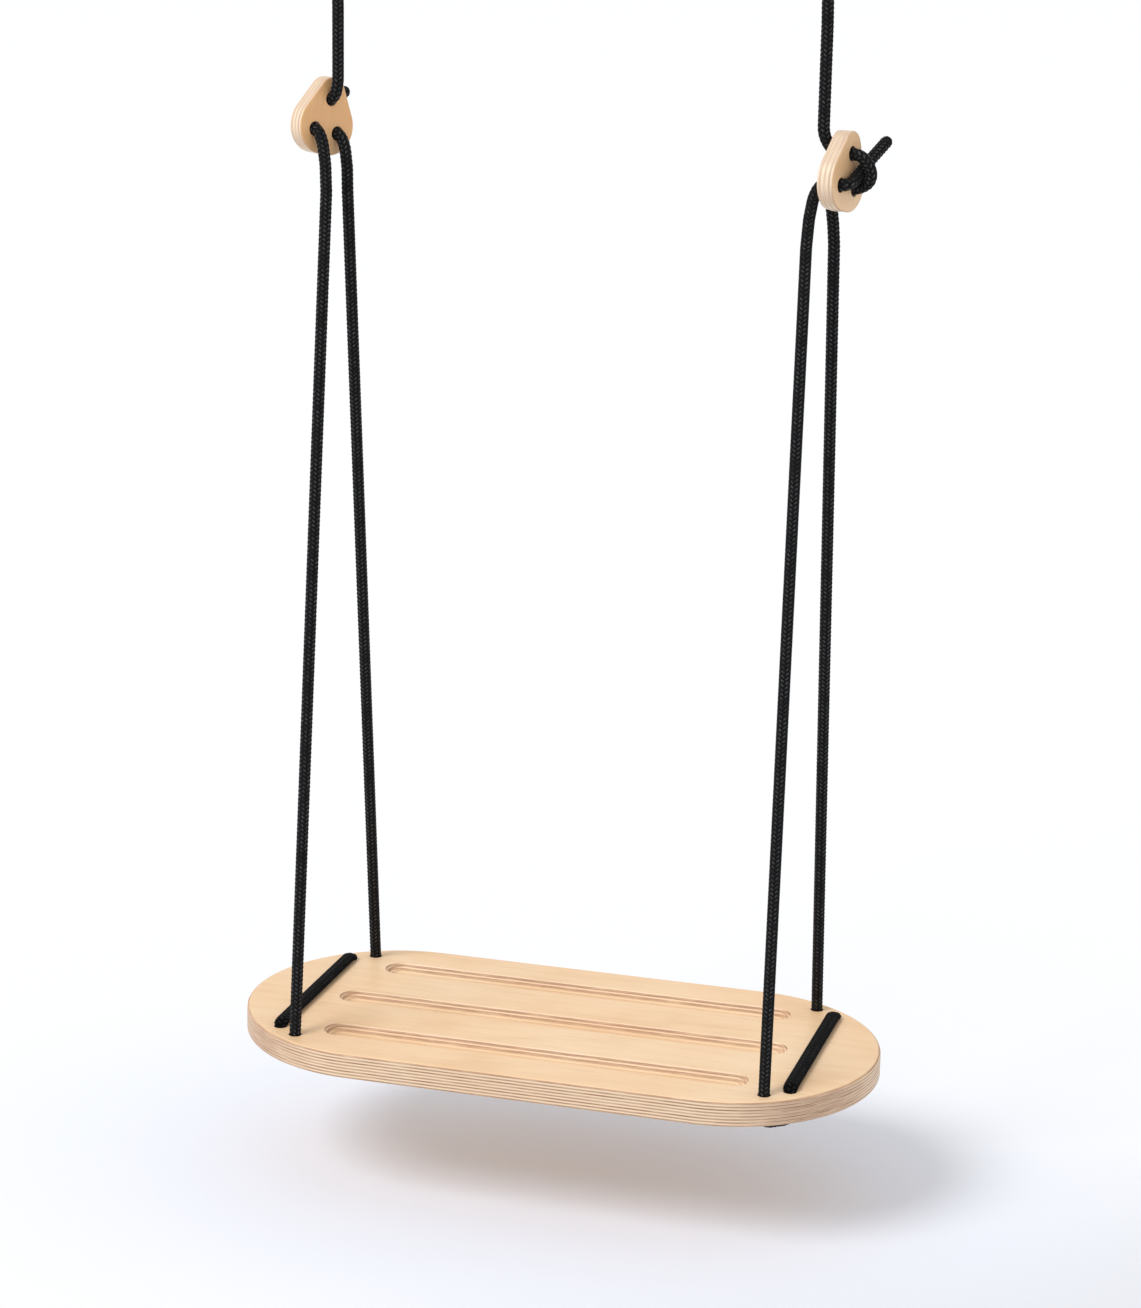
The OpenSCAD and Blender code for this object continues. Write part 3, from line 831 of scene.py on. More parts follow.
# Where the lacing and the tails run, in the adjuster's frame: outwards, to the rear, up.
# The legs and the strap are in the seat's frame. All in millimetres.
LACING_ROUTE = {
    Side.LEFT: [
        (-11, 4.4, 19.4), (9.5, 4.4, 19.3), (17, 4.8, 18), (23.5, 6, 12), (25, 8, 3),
        (22, 10, -7), (16, 10.8, -11), (9.5, 10.8, -11.2), (-11.5, 10.8, -11.2),
        (-17, 11.5, -22), (-20, 11.5, -40), (-20.5, 11.5, -60)],
    Side.RIGHT: [
        (-11, 4.4, 19.4), (9.5, 4.4, 19.3), (16.5, 4.8, 17.5), (22, 6.5, 11), (24, 9, 2.5),
        (21.5, 10, -4), (16.5, 10.5, -7.8), (9.5, 10.8, -10.6), (-11.5, 10.8, -11.2),
        (-15, 11.2, -20), (-14.3, 12, -29), (-13, 13.5, -43), (-12, 14.5, -60)]}
TAIL_ROUTE = {
    Side.LEFT: [
        (-20.5, -13, -60), (-20, -13.5, -36), (-17, -14, -17), (-11.5, -14.6, -5.4),
        (12, -14.3, -5.2), (13, -4, -3.6), (13.4, 9, 2.2), (16, 27, 13), (18, 44, 25)],
    Side.RIGHT: [
        (-22, -17.5, -60), (-21, -16, -36), (-18, -15, -17), (-11.5, -14.6, -5.4),
        (12, -14.3, -5.2), (13, -4, -3.4), (13.2, 8, 2.5), (15.5, 25, 14.5), (21, 46, 30)]}
STRAP_ROUTE = [
    (220, 109, 0), (220, 109, -25), (223, 106.7, -29.5), (237, 96.3, -29.5), (240, 94, -25),
    (240, 94, 1.5), (240, 90, 5.5), (240, -90, 5.5), (240, -94, 1.5),
    (240, -94, -25), (237, -96.3, -29.5), (223, -106.7, -29.5), (220, -109, -25),
    (220, -109, 0)]


@dataclass(frozen=True)
class Hang:
    """How one side's adjuster hangs.

    Attributes:
        height: Its height above the seat, in millimetres.
        turn: Its turn about Z, in degrees.
        slip: How far it sits to the rear of the rope, in millimetres.
    """

    height: float
    turn: float
    slip: float


HANGS = {Side.LEFT: Hang(818.0, -29.6, -4.0), Side.RIGHT: Hang(793.0, -15.5, 4.0)}
HANG_HALF = 218.0
ROPE_STAND = 16.5
ADJUSTER_LEAN = 13.0


def seat_top_z() -> float:
    """Height of the seat's top, in metres."""
    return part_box("seat_board")[1][2]


def hung(side: Side, point: Sequence[float]) -> Vector:
    """A point of the adjuster's frame, in the row's frame.

    Args:
        side: The rope's side.
        point: Outwards, to the rear and up, in millimetres.

    Returns:
        The point in metres.
    """
    hang = HANGS[side]
    turn = math.radians(hang.turn)
    outwards = side.value * Vector((math.cos(turn), math.sin(turn), 0))
    rearwards = Vector((-math.sin(turn), math.cos(turn), 0))
    spot = (Vector((side.value * HANG_HALF, 0, hang.height))
            + outwards * (point[0] + ROPE_STAND) + rearwards * (point[1] + hang.slip)
            + Vector((0, 0, point[2])))
    return spot * MM + Vector((0, 0, seat_top_z()))


def on_seat(side: Side, point: Sequence[float]) -> Vector:
    """A point of the seat's frame, mirrored to a side, in the row's frame in metres."""
    x, y, z = point
    return Vector((side.value * x * MM, y * MM, seat_top_z() + z * MM))


@dataclass
class Braid:
    """The rope's weave: strands that wind both ways and pass over and under in twos.

    Attributes:
        radius: Outer radius of the rope in metres.
        relief: Depth of the valleys between strands in metres.
        strands: Strands that wind each way.
        pitch: Length of one whole turn of a strand in metres.
        around: Points round the rope.
        step: Distance between rings in metres.
    """

    radius: float = 0.0054
    relief: float = 0.0010
    strands: int = 8
    pitch: float = 0.0312
    around: int = 48
    step: float = 0.0008

    def weave(self, along: np.ndarray, angle: np.ndarray) -> tuple[np.ndarray, ...]:
        """The weave's height and strand coordinates at places on the rope.

        Args:
            along: Distance along the rope in metres.
            angle: Angle round the rope in radians.

        Returns:
            Height from 0 to 1, place across the strand, place along it, and its number.
        """
        turn = self.strands * angle / (2 * np.pi)
        wind = self.strands * along / self.pitch
        a, b = turn + wind, turn - wind
        ia, ib = np.floor(a), np.floor(b)
        fa, fb = a - ia, b - ib
        crown_a = 1 - 0.85 * np.abs(2 * fa - 1) ** 2.4
        crown_b = 1 - 0.85 * np.abs(2 * fb - 1) ** 2.4
        over_a = np.cos(np.pi / 2 * (b + ia - 1))
        over_b = np.cos(np.pi / 2 * (a + ib - 3))
        high_a = crown_a * 0.62 + 0.38 * over_a
        high_b = crown_b * 0.62 + 0.38 * over_b
        on_top = high_a > high_b
        height = np.clip(np.where(on_top, high_a, high_b), 0, 1)
        across = np.where(on_top, fa, fb)
        lengthwise = np.where(on_top, b, a)
        number = np.where(on_top, ia, ib + 50)
        return height, across, lengthwise, number


@dataclass
class Line:
    """A smooth centreline through a route, with every corner rounded.

    Attributes:
        corners: The route's points in metres.
        radius: Largest radius at a corner in metres.
    """

    corners: list[Vector]
    radius: float = 0.03
    points: np.ndarray = field(init=False)
    marks: list[float] = field(init=False)
    length: np.ndarray = field(init=False)

    def __post_init__(self) -> None:
        """Rounds the corners and measures the line."""
        dense: list[Vector] = [self.corners[0]]
        at_corner: list[int] = [0]
        for before, corner, after in zip(self.corners, self.corners[1:], self.corners[2:]):
            arc = self.round_corner(before, corner, after)
            at_corner.append(len(dense) + len(arc) // 2)
            dense.extend(arc)
        dense.append(self.corners[-1])
        at_corner.append(len(dense) - 1)
        self.points = np.array([tuple(p) for p in dense])
        steps = np.linalg.norm(np.diff(self.points, axis=0), axis=1)
        self.length = np.concatenate([[0.0], np.cumsum(steps)])
        self.marks = [float(self.length[i]) for i in at_corner]

    def round_corner(self, before: Vector, corner: Vector, after: Vector) -> list[Vector]:
        """The arc that rounds one corner.

        Args:
            before: The point before the corner.
            corner: The corner.
            after: The point after it.

        Returns:
            Points of the arc, or the corner alone where the route is straight.
        """
        come, go = (corner - before), (after - corner)
        reach = 0.49 * min(come.length, go.length)
        come.normalize()
        go.normalize()
        bend = come.angle(go, 0.0)
        if bend < 1e-3:
            return [corner]
        trim = min(self.radius * math.tan(bend / 2), reach)
        radius = trim / math.tan(bend / 2)
        inward = (go - come).normalized()
        centre = corner + inward * (radius / math.cos(bend / 2))
        spoke = corner - come * trim - centre
        swing = come * radius
        count = max(4, math.ceil(bend / math.radians(6)) + 1)
        return [centre + spoke * math.cos(bend * k / count) + swing * math.sin(bend * k / count)
                for k in range(count + 1)]

    def at(self, places: np.ndarray) -> np.ndarray:
        """Points of the line at distances along it."""
        return np.stack([np.interp(places, self.length, self.points[:, i]) for i in range(3)], 1)

    def frames(self, places: np.ndarray) -> tuple[np.ndarray, np.ndarray, np.ndarray]:
        """Points, and two sideways directions that turn as little as possible.

        Args:
            places: Distances along the line, in order.

        Returns:
            Points, first side directions and second side directions.
        """
        points = self.at(places)
        gap = 0.0004
        ahead = self.at(np.minimum(places + gap, self.length[-1]))
        behind = self.at(np.maximum(places - gap, 0.0))
        heading = ahead - behind
        heading /= np.linalg.norm(heading, axis=1)[:, None]
        side = np.zeros_like(points)
        start = np.cross(heading[0], (0.36, 0.48, 0.80))
        side[0] = start / np.linalg.norm(start)
        for i in range(1, len(points)):
            carried = side[i - 1] - heading[i] * float(side[i - 1] @ heading[i])
            side[i] = carried / np.linalg.norm(carried)
        return points, side, np.cross(heading, side)


@dataclass
class SwingRope:
    """One of the two ropes, as the stretches that ride on different bodies.

    Attributes:
        side: Which rope it is.
        material: Its finish.
        pressed_material: A darker, duller copy of its finish where it is pressed on the board,
            with fainter painted glints: painted shade.
        braid: Its weave.
    """

    side: Side
    material: bpy.types.Material
    pressed_material: bpy.types.Material
    braid: Braid = field(default_factory=Braid)
    line: Line = field(init=False)
    ends: dict[str, tuple[int, int]] = field(init=False)
    rings: tuple[np.ndarray, np.ndarray, np.ndarray] = field(init=False)
    places: np.ndarray = field(init=False)

    EYE_LEAN: ClassVar[int] = 25
    THIMBLE_R: ClassVar[float] = 18.5
    THIMBLE_SEAT_R: ClassVar[float] = 18.7
    STRAND_Y: ClassVar[float] = 5.1
    JOIN_UP: ClassVar[float] = 50.0
    BEND_UP: ClassVar[float] = 34.0
    BOARD_T: ClassVar[float] = 0.024
    FLATTEN: ClassVar[float] = 0.32
    SPREAD: ClassVar[float] = 0.30

    def __post_init__(self) -> None:
        """Lays the whole rope out and finds where each stretch ends."""
        side = self.side
        x = side.value * HANG_HALF * MM
        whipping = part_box(side.node("whipping"))
        low = whipping[0][2]
        seat_r = self.THIMBLE_SEAT_R * MM
        strand = self.STRAND_Y * MM
        top_of_whipping = whipping[1][2] + self.braid.radius
        crown_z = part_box(side.node("thimble"))[1][2] - self.THIMBLE_R * MM
        crown = [Vector((x, seat_r * math.cos(math.radians(a)),
                         crown_z + seat_r * math.sin(math.radians(a))))
                 for a in range(-self.EYE_LEAN, 181 + self.EYE_LEAN, 10)]
        eye_route = ([Vector((x, strand, low)), Vector((x, strand, top_of_whipping))] + crown
                     + [Vector((x, -strand, top_of_whipping)), Vector((x, -strand, low))])
        adjuster_z = seat_top_z() + HANGS[side].height * MM
        upper = [Vector((x, -strand, low - 0.015)), Vector((x, 0, low - 0.070)),
                 Vector((x, 0, adjuster_z + self.JOIN_UP * MM))]
        lacing = [Vector((x, 0, adjuster_z + self.BEND_UP * MM))]
        lacing += [hung(side, q) for q in LACING_ROUTE[side]]
        strap = [on_seat(side, q) for q in STRAP_ROUTE]
        tail = [hung(side, q) for q in TAIL_ROUTE[side]]
        parts = {"rope_eye": eye_route, "upper_rope": upper, "lacing": lacing,
                 "rear_leg": strap[:1], "seat_strap": strap[1:], "front_leg": tail[:1],
                 "rope_tail": tail[1:]}
        corners: list[Vector] = []
        ends: dict[str, tuple[int, int]] = {}
        for name, route in parts.items():
            first = max(len(corners) - 1, 0)
            corners += route
            ends[name] = (first, len(corners) - 1)
        self.line = Line(corners)
        self.ends = ends

    def stretch(self, name: str) -> tuple[np.ndarray, np.ndarray]:
        """Ring places of one stretch.

        Args:
            name: The stretch.

        Returns:
            Distances of its rings along the rope, and its centreline's points.
        """
        start, end = (self.line.marks[i] for i in self.ends[name])
        count = max(8, math.ceil((end - start) / self.braid.step))
        places = np.linspace(start, end, count + 1)
        return places, self.line.at(places)

    def prepare(self) -> None:
        """Works out the frames of every ring, once for the whole rope."""
        places = [self.stretch(name)[0] for name in self.ends]
        self.places = np.unique(np.round(np.concatenate(places), 9))
        self.rings = self.line.frames(self.places)

    def mesh(self, name: str) -> bpy.types.Object:
        """Builds the woven tube of one stretch.

        Args:
            name: The stretch.

        Returns:
            The piece.
        """
        braid = self.braid
        wanted = np.round(self.stretch(name)[0], 9)
        index = np.searchsorted(self.places, wanted)
        index = np.clip(index, 0, len(self.places) - 1)
        points, side, cross = (part[index] for part in self.rings)
        along = self.places[index]
        angle = np.linspace(0, 2 * np.pi, braid.around, endpoint=False)
        height, across, lengthwise, number = braid.weave(along[:, None], angle[None, :])
        reach = braid.radius - braid.relief * (1 - height)
        if name == "rope_tail":
            reach = self.melted(along, reach)
        ring = (side[:, None, :] * np.cos(angle)[None, :, None]
                + cross[:, None, :] * np.sin(angle)[None, :, None])
        skin = points[:, None, :] + ring * reach[..., None]
        if name == "seat_strap":
            skin = self.pressed(skin, points[:, None, :])
        verts = skin.reshape(-1, 3)
        rows, n = len(points), braid.around
        quads = [(i * n + k, i * n + (k + 1) % n, (i + 1) * n + (k + 1) % n, (i + 1) * n + k)
                 for i in range(rows - 1) for k in range(n)]
        caps = [tuple(reversed(range(n))), tuple(range((rows - 1) * n, rows * n))]
        mesh = bpy.data.meshes.new(name)
        mesh.from_pydata(verts.tolist(), [], quads + caps)
        strand = mesh.attributes.new("strand", "FLOAT_VECTOR", "POINT")
        strand.data.foreach_set("vector", np.stack([across, lengthwise, number], -1)
                                .astype(np.float32).ravel())
        lift = mesh.attributes.new("lift", "FLOAT", "POINT")
        lift.data.foreach_set("value", height.astype(np.float32).ravel())
        mesh.polygons.foreach_set("use_smooth", [True] * len(quads) + [False] * 2)
        piece = bpy.data.objects.new(self.side.node(f"{name}_braid"), mesh)
        bpy.context.scene.collection.objects.link(piece)
        mesh.update()
        return piece

    def pressed(self, skin: np.ndarray, middle: np.ndarray) -> np.ndarray:
        """Flattens the strap where it is pulled down on the board and up under it.

        Args:
            skin: Points of the strap.
            middle: Points of its centreline, which decide how much each is flattened.

        Returns:
            The points, lower and wider on the board, and nearer to it below.
        """
        moved = skin.copy()
        top = seat_top_z()
        for face, way in ((top, 1), (top - self.BOARD_T, -1)):
            clear = (middle[..., 2] - face) * way
            weight = np.clip((clear + 0.0015) / 0.005, 0, 1)
            weight = weight * weight * (3 - 2 * weight)
            above = np.maximum((skin[..., 2] - face) * way, 0)
            moved[..., 2] -= way * above * self.FLATTEN * weight
            spread = self.SPREAD * weight * (1 if way > 0 else 0)
            moved[..., 0] += (skin[..., 0] - middle[..., 0]) * spread
        return moved

    def melted(self, along: np.ndarray, reach: np.ndarray) -> np.ndarray:
        """Rounds the sealed end of the tail.

        Args:
            along: Ring places.
            reach: Radius at every point.

        Returns:
            The radius, closing to a blunt round end.
        """
        left = (self.line.length[-1] - along) / self.braid.radius
        dome = np.sqrt(np.clip(1 - (1 - np.clip(left, 0, 1)) ** 2, 0.0004, 1))
        return reach * dome[:, None]

    def build(self) -> list[bpy.types.Object]:
        """Builds every stretch.

        Returns:
            The stretches, from the eye to the tail.
        """
        self.prepare()
        bodies = {"rope_eye": "sling", "upper_rope": "sling", "lacing": self.side.body,
                  "rope_tail": self.side.body, "seat_strap": "seat"}
        made = []
        for name in self.ends:
            piece = self.mesh(name)
            # The strap gets the darker copy of the braid: painted shade
            dress(piece, self.pressed_material if name == "seat_strap" else self.material)
            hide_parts(self.side.node(name))
            if name in ("rear_leg", "front_leg"):
                self.stretch_with_adjuster(piece, name)
            else:
                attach(piece, bodies[name])
            if name == "upper_rope":
                self.shorten_with_seat(piece)
            self.declare(name)
            LOG.info("%s: %d faces", piece.name, len(piece.data.polygons))
            made.append(piece)
        return made

    def shorten_with_seat(self, piece: bpy.types.Object) -> None:
        """Gives the upper rope a mesh of its own; the path it works out is not used."""
        path = self.stretch("upper_rope")[1]
        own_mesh(piece)

    def stretch_with_adjuster(self, piece: bpy.types.Object, name: str) -> None:
        """Moves a leg's place into its mesh; the path it works out is not used."""
        path = self.stretch(name)[1]
        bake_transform(piece)

    def declare(self, name: str) -> None:
        """Works out a stretch's ring places and path, pressed down for the strap, and does
        nothing more with them.
        """
        places, path = self.stretch(name)
        if name == "seat_strap":
            path = self.pressed(path, path)


def bar(name: str, line: Line, radius: float, around: int = 24, step: float = 0.0012,
        twist: float = 0.0) -> bpy.types.Object:
    """A round bar, wire or twine along a line.

    Args:
        name: Name of the new piece.
        line: Its centreline.
        radius: Its radius in metres.
        around: Points round it.
        step: Distance between rings in metres.
        twist: Length in which its three strands turn once, or 0 for a plain bar.

    Returns:
        The bar, with flat ends.
    """
    count = max(2, math.ceil(line.length[-1] / step))
    places = np.linspace(0.0, line.length[-1], count + 1)
    points, side, cross = line.frames(places)
    angle = np.linspace(0, 2 * np.pi, around, endpoint=False)
    reach = np.full((len(places), around), radius)
    lobes = np.zeros_like(reach)
    if twist:
        lobes = 0.5 + 0.5 * np.cos(3 * (angle[None, :] + 2 * np.pi * places[:, None] / twist))
        reach = reach * (0.86 + 0.14 * lobes)
    ring = (side[:, None, :] * np.cos(angle)[None, :, None]
            + cross[:, None, :] * np.sin(angle)[None, :, None])
    verts = (points[:, None, :] + ring * reach[..., None]).reshape(-1, 3)
    rows, n = len(points), around
    quads = [(i * n + k, i * n + (k + 1) % n, (i + 1) * n + (k + 1) % n, (i + 1) * n + k)
             for i in range(rows - 1) for k in range(n)]
    caps = [tuple(reversed(range(n))), tuple(range((rows - 1) * n, rows * n))]
    mesh = bpy.data.meshes.new(name)
    mesh.from_pydata(verts.tolist(), [], quads + caps)
    if twist:
        attribute = mesh.attributes.new("twist", "FLOAT", "POINT")
        attribute.data.foreach_set("value", lobes.astype(np.float32).ravel())
    mesh.polygons.foreach_set("use_smooth", [True] * len(quads) + [False] * 2)
    piece = bpy.data.objects.new(name, mesh)
    bpy.context.scene.collection.objects.link(piece)
    mesh.update()
    return piece


# ---------------------------------------------------------------- wood


@dataclass
class SeatBoard:
    """The plywood seat: round ends, three grooves in its top, and eight rope holes.

    Attributes:
        material: Its finish.
        length: Length along X in metres.
        width: Width along Y in metres.
        thickness: Thickness in metres.
        edge: Rounding of its rims in metres.
        groove_r: Radius of the grooves' round bottoms in metres.
        groove_depth: Depth of the grooves in metres.
        groove_pitch: Distance between the middles of the grooves in metres.
        groove_lengths: Lengths of the middle and the outer grooves in metres.
        groove_width: Width of the grooves in metres.
        hole_r: Radius of the rope holes in metres.
        holes: Places of the holes of one corner in metres.
    """

    material: bpy.types.Material
    length: float = 0.600
    width: float = 0.280
    thickness: float = 0.024
    edge: float = 0.003
    groove_r: float = 0.0180625
    groove_depth: float = 0.008
    groove_pitch: float = 0.084
    groove_lengths: tuple[float, float] = (0.432, 0.400)
    groove_width: float = 0.030
    hole_r: float = 0.006
    holes: tuple[tuple[float, float], ...] = ((0.220, 0.109), (0.240, 0.094))

    def slab(self) -> bpy.types.Object:
        """A disc pulled apart into the board's outline, with rounded rims."""
        top = seat_top_z()
        deselect()
        sides = 144
        bpy.ops.mesh.primitive_cylinder_add(
            vertices=sides, radius=self.width / 2, depth=self.thickness,
            end_fill_type="NGON", rotation=(0, 0, math.pi / sides),
            location=(0, 0, top - self.thickness / 2))
        board = settle(named("seat_plank"))
        for way in (-1, 1):
            edit_select(board, "VERT", lambda v, way=way: v.co.x * way > 0)
            bpy.ops.transform.translate(value=(way * (self.length - self.width) / 2, 0, 0))
            leave_edit()
        bevel_edges(board, sharper_than(60), self.edge, 5)
        return board

    def groove(self, length: float, y: float) -> bpy.types.Object:
        """A capsule that cuts one groove."""
        deselect()
        bpy.ops.mesh.primitive_uv_sphere_add(
            segments=72, ring_count=37, radius=self.groove_r, rotation=(0, math.pi / 2, 0),
            location=(0, y, seat_top_z() + self.groove_r - self.groove_depth))
        cutter = settle(named("groove"))
        for way in (-1, 1):
            edit_select(cutter, "VERT", lambda v, way=way: v.co.x * way > 0)
            bpy.ops.transform.translate(value=(way * (length - self.groove_width) / 2, 0, 0))
            leave_edit()
        return cutter

    def build(self) -> bpy.types.Object:
        """Builds the board.

        Returns:
            The board, riding on the seat's body.
        """
        board = self.slab()
        middle, outer = self.groove_lengths
        for length, y in ((middle, 0.0), (outer, -self.groove_pitch),
                          (outer, self.groove_pitch)):
            combine(board, self.groove(length, y), "DIFFERENCE")
        low_z = seat_top_z() - self.thickness / 2
        for way_x in (-1, 1):
            for way_y in (-1, 1):
                for x, y in self.holes:
                    drill(board, self.hole_r, Axis.Z, (way_x * x, way_y * y, low_z),
                          self.thickness * 2)
        bevel_edges(board, sharper_than(40), 0.0009, 3)
        smooth(board, 28)
        dress(board, self.material)
        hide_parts("seat_board")
        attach(board, "seat")
        return board


@dataclass
class Adjuster:
    """A wooden rope adjuster: a rounded three-cornered plate with three holes.

    Attributes:
        side: Which rope it is on.
        finish: Its finish, placed on the plate when it is built.
        corners: Its three corners as radius, place to the rear, and height, in metres.
        thickness: Thickness in metres.
        hole_r: Radius of the holes in metres.
        edge: Rounding of its edges in metres.
    """

    side: Side
    finish: PlywoodFinish
    corners: tuple[tuple[float, float, float], ...] = (
        (0.015, 0.0, 0.024), (0.025, 0.0055, -0.004), (0.025, -0.0055, -0.004))
    thickness: float = 0.015
    hole_r: float = 0.006
    edge: float = 0.0015
    holes: tuple[tuple[float, float], ...] = ((0.0, 0.020), (-0.013, -0.0085), (0.013, -0.0085))

    def stand(self) -> Matrix:
        """The matrix that takes the upright plate to its place on the rope."""
        return (Matrix.Translation(hung(self.side, (0, 0, 0)))
                @ Matrix.Rotation(math.radians(HANGS[self.side].turn), 4, "Z")
                @ Matrix.Rotation(math.radians(-ADJUSTER_LEAN), 4, "X"))

    def build(self, group: bpy.types.NodeTree) -> bpy.types.Object:
        """Builds the adjuster.

        Args:
            group: The plywood node group.

        Returns:
            The adjuster, riding on its own body.
        """
        plate = hull_of(self.side.node("adjuster_plate"), [
            prism("corner", 96, radius, self.thickness, Axis.X, (0, y, z))
            for radius, y, z in self.corners])
        bevel_edges(plate, sharper_than(60), self.edge, 4)
        for y, z in self.holes:
            drill(plate, self.hole_r, Axis.X, (0, y, z), self.thickness * 2)
        bevel_edges(plate, sharper_than(60), 0.0010, 3)
        smooth(plate, 28)
        place(plate, self.stand())
        spot = self.stand()
        across = spot.to_3x3() @ Matrix(((0, 0, 1), (1, 0, 0), (0, 1, 0)))
        laid = replace(self.finish, middle=tuple(spot.translation), lay=tuple(across.to_euler()))
        dress(plate, laid.build(group))
        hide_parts(self.side.node("adjuster"))
        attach(plate, self.side.body)
        return plate


# ---------------------------------------------------------------- metal


@dataclass
class Metals:
    """The finishes of the ceiling fittings and hooks."""

    plate: bpy.types.Material
    bolt: bpy.types.Material
    hook: bpy.types.Material
    thimble: bpy.types.Material
    spring: bpy.types.Material
    nylon: bpy.types.Material


@dataclass
class CeilingFitting:
    """The ceiling plate with its pivot bolt, nut, washers, bush and link.

    Attributes:
        side: Which rope it holds.
        metals: The finishes.
        pivot_z: Height of the pivot in metres.
        ear_gap: Distance between the ears in metres.
        plate_t: Thickness of the plate and its ears in metres.
    """

    side: Side
    metals: Metals
    pivot_z: float = -0.026
    ear_gap: float = 0.0126
    plate_t: float = 0.005

    @property
    def x(self) -> float:
        """Place of the fitting's middle along X."""
        return self.side.value * HANG_HALF * MM

    def finish_piece(self, piece, part: str, body: str, material, slot: str):
        """Names a piece after its part, dresses it and puts it on its body."""
        piece.name = self.side.node(f"{part}_made")
        smooth(piece, 34)
        dress(piece, material)
        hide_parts(self.side.node(part))
        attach(piece, body)
        return piece

    def plate(self) -> bpy.types.Object:
        """The plate with two ears and two screw holes."""
        x, t = self.x, self.plate_t
        plate = block("plate", (x - 0.020, -0.050, -t), (x + 0.020, 0.050, 0))
        bevel_edges(plate, lambda e: abs(e.verts[0].co.z - e.verts[1].co.z) > t / 2, 0.008, 8)
        for way in (-1, 1):
            ear_x = x + way * (self.ear_gap + t) / 2
            ear = hull_of("ear", [
                prism("disc", 64, 0.011, t, Axis.X, (ear_x, 0, self.pivot_z)),
                block("neck", (ear_x - t / 2, -0.011, self.pivot_z + 0.001),
                      (ear_x + t / 2, 0.011, -t / 2))])
            combine(plate, ear, "UNION")
        drill(plate, 0.00405, Axis.X, (x, 0, self.pivot_z), 0.060)
        for way in (-1, 1):
            drill(plate, 0.0045, Axis.Z, (x, way * 0.035, 0), 0.030)
        bevel_edges(plate, sharper_than(60), 0.0004, 2)
        return self.finish_piece(plate, "ceiling_plate", "ceiling", self.metals.plate,
                                 "zinc_steel")

    def hexagon(self, depth: float, start: float, way: int) -> bpy.types.Object:
        """A hexagon head or nut with turned corners on its outer face.

        Args:
            depth: Its height in metres.
            start: Place of its inner face along X, from the fitting's middle, in metres.
            way: 1 or -1, which way it goes along X.

        Returns:
            The hexagon.
        """
        corner = 6.5 / math.cos(math.radians(30))
        high = depth / MM
        x = self.x + way * start
        body = prism("hexagon", 6, corner * MM, depth, Axis.X, (x + way * depth / 2, 0,
                                                                self.pivot_z), math.pi / 6)
        profile = [(0, -0.2), (corner + 0.1, -0.2), (corner + 0.1, high - 0.75), (6.2, high),
                   (0, high)]
        turned = lathe("turned", [(r, way * z) for r, z in profile], Axis.X,
                       (x, 0, self.pivot_z), steps=72)
        combine(body, turned, "INTERSECT")
        bevel_edges(body, sharper_than(50), 0.00025, 2)
        return body

    def bolt(self) -> bpy.types.Object:
        """The pivot bolt: a hexagon head outside, and a thread that ends past the nut."""
        way = self.side.value
        seat = self.ear_gap / 2 + self.plate_t + 0.0016
        head = self.hexagon(0.0053, seat, way)
        tip = -(seat / MM + 8 + 3)
        thread = [(4.0, seat / MM + 0.5)]
        at = -(seat / MM) + 2
        while at > tip + 1.6:
            thread += [(4.0, at), (3.45, at - 0.55), (3.45, at - 0.7)]
            at -= 1.25
        thread += [(4.0, tip + 0.9), (3.2, tip)]
        profile = [(0, seat / MM + 0.5)] + thread + [(0, tip)]
        shank = lathe("shank", [(r, way * z) for r, z in profile], Axis.X,
                      (self.x, 0, self.pivot_z), steps=40)
        return self.finish_piece(joined("bolt", [head, shank]), "pivot_bolt", "ceiling",
                                 self.metals.bolt, "bolt_steel")

    def nut(self) -> bpy.types.Object:
        """The lock nut, with its round collar."""
        way = -self.side.value
        seat = self.ear_gap / 2 + self.plate_t + 0.0016
        nut = self.hexagon(0.0062, seat, way)
        collar = lathe("collar", [(r, way * z) for r, z in (
            (0, 5.5), (5.9, 5.5), (5.9, 7.2), (5.5, 7.8), (4.6, 8.0), (0, 8.0))], Axis.X,
            (self.x + way * seat, 0, self.pivot_z), steps=56)
        combine(nut, collar, "UNION")
        drill(nut, 0.00405, Axis.X, (self.x + way * seat, 0, self.pivot_z), 0.040, 40)
        return self.finish_piece(nut, "pivot_nut", "ceiling", self.metals.bolt, "bolt_steel")

    def washers(self) -> bpy.types.Object:
        """The two washers."""
        rings = []
        for way in (-1, 1):
            middle = self.x + way * (self.ear_gap / 2 + self.plate_t + 0.0008)
            rings.append(lathe("washer", [
                (4.05, -0.8), (7.7, -0.8), (8.0, -0.5), (8.0, 0.5), (7.7, 0.8), (4.3, 0.8),
                (4.05, 0.55)], Axis.X, (middle, 0, self.pivot_z), steps=64))
        return self.finish_piece(joined("washers", rings), "pivot_washers", "ceiling",
                                 self.metals.bolt, "bolt_steel")

    def bush(self) -> bpy.types.Object:
        """The nylon bush."""
        bush = lathe("bush", [
            (4.05, -5.6), (4.45, -6.0), (6.1, -6.0), (6.5, -5.6), (6.5, 5.6), (6.1, 6.0),
            (4.45, 6.0), (4.05, 5.6)], Axis.X, (self.x, 0, self.pivot_z), steps=72)
        return self.finish_piece(bush, "pivot_bush", "sling", self.metals.nylon, "nylon")

    def link(self) -> bpy.types.Object:
        """The flat link between the bush and the snap hook."""
        low_z = self.pivot_z - 0.038
        link = hull_of("link", [
            prism("top", 80, 0.0125, 0.008, Axis.X, (self.x, 0, self.pivot_z)),
            prism("low", 80, 0.013, 0.008, Axis.X, (self.x, 0, low_z))])
        bevel_edges(link, sharper_than(60), 0.0010, 3)
        drill(link, 0.0065, Axis.X, (self.x, 0, self.pivot_z), 0.030)
        drill(link, 0.0070, Axis.X, (self.x, 0, low_z), 0.030)
        bevel_edges(link, sharper_than(60), 0.0004, 2)
        return self.finish_piece(link, "hanging_link", "sling", self.metals.plate, "zinc_steel")

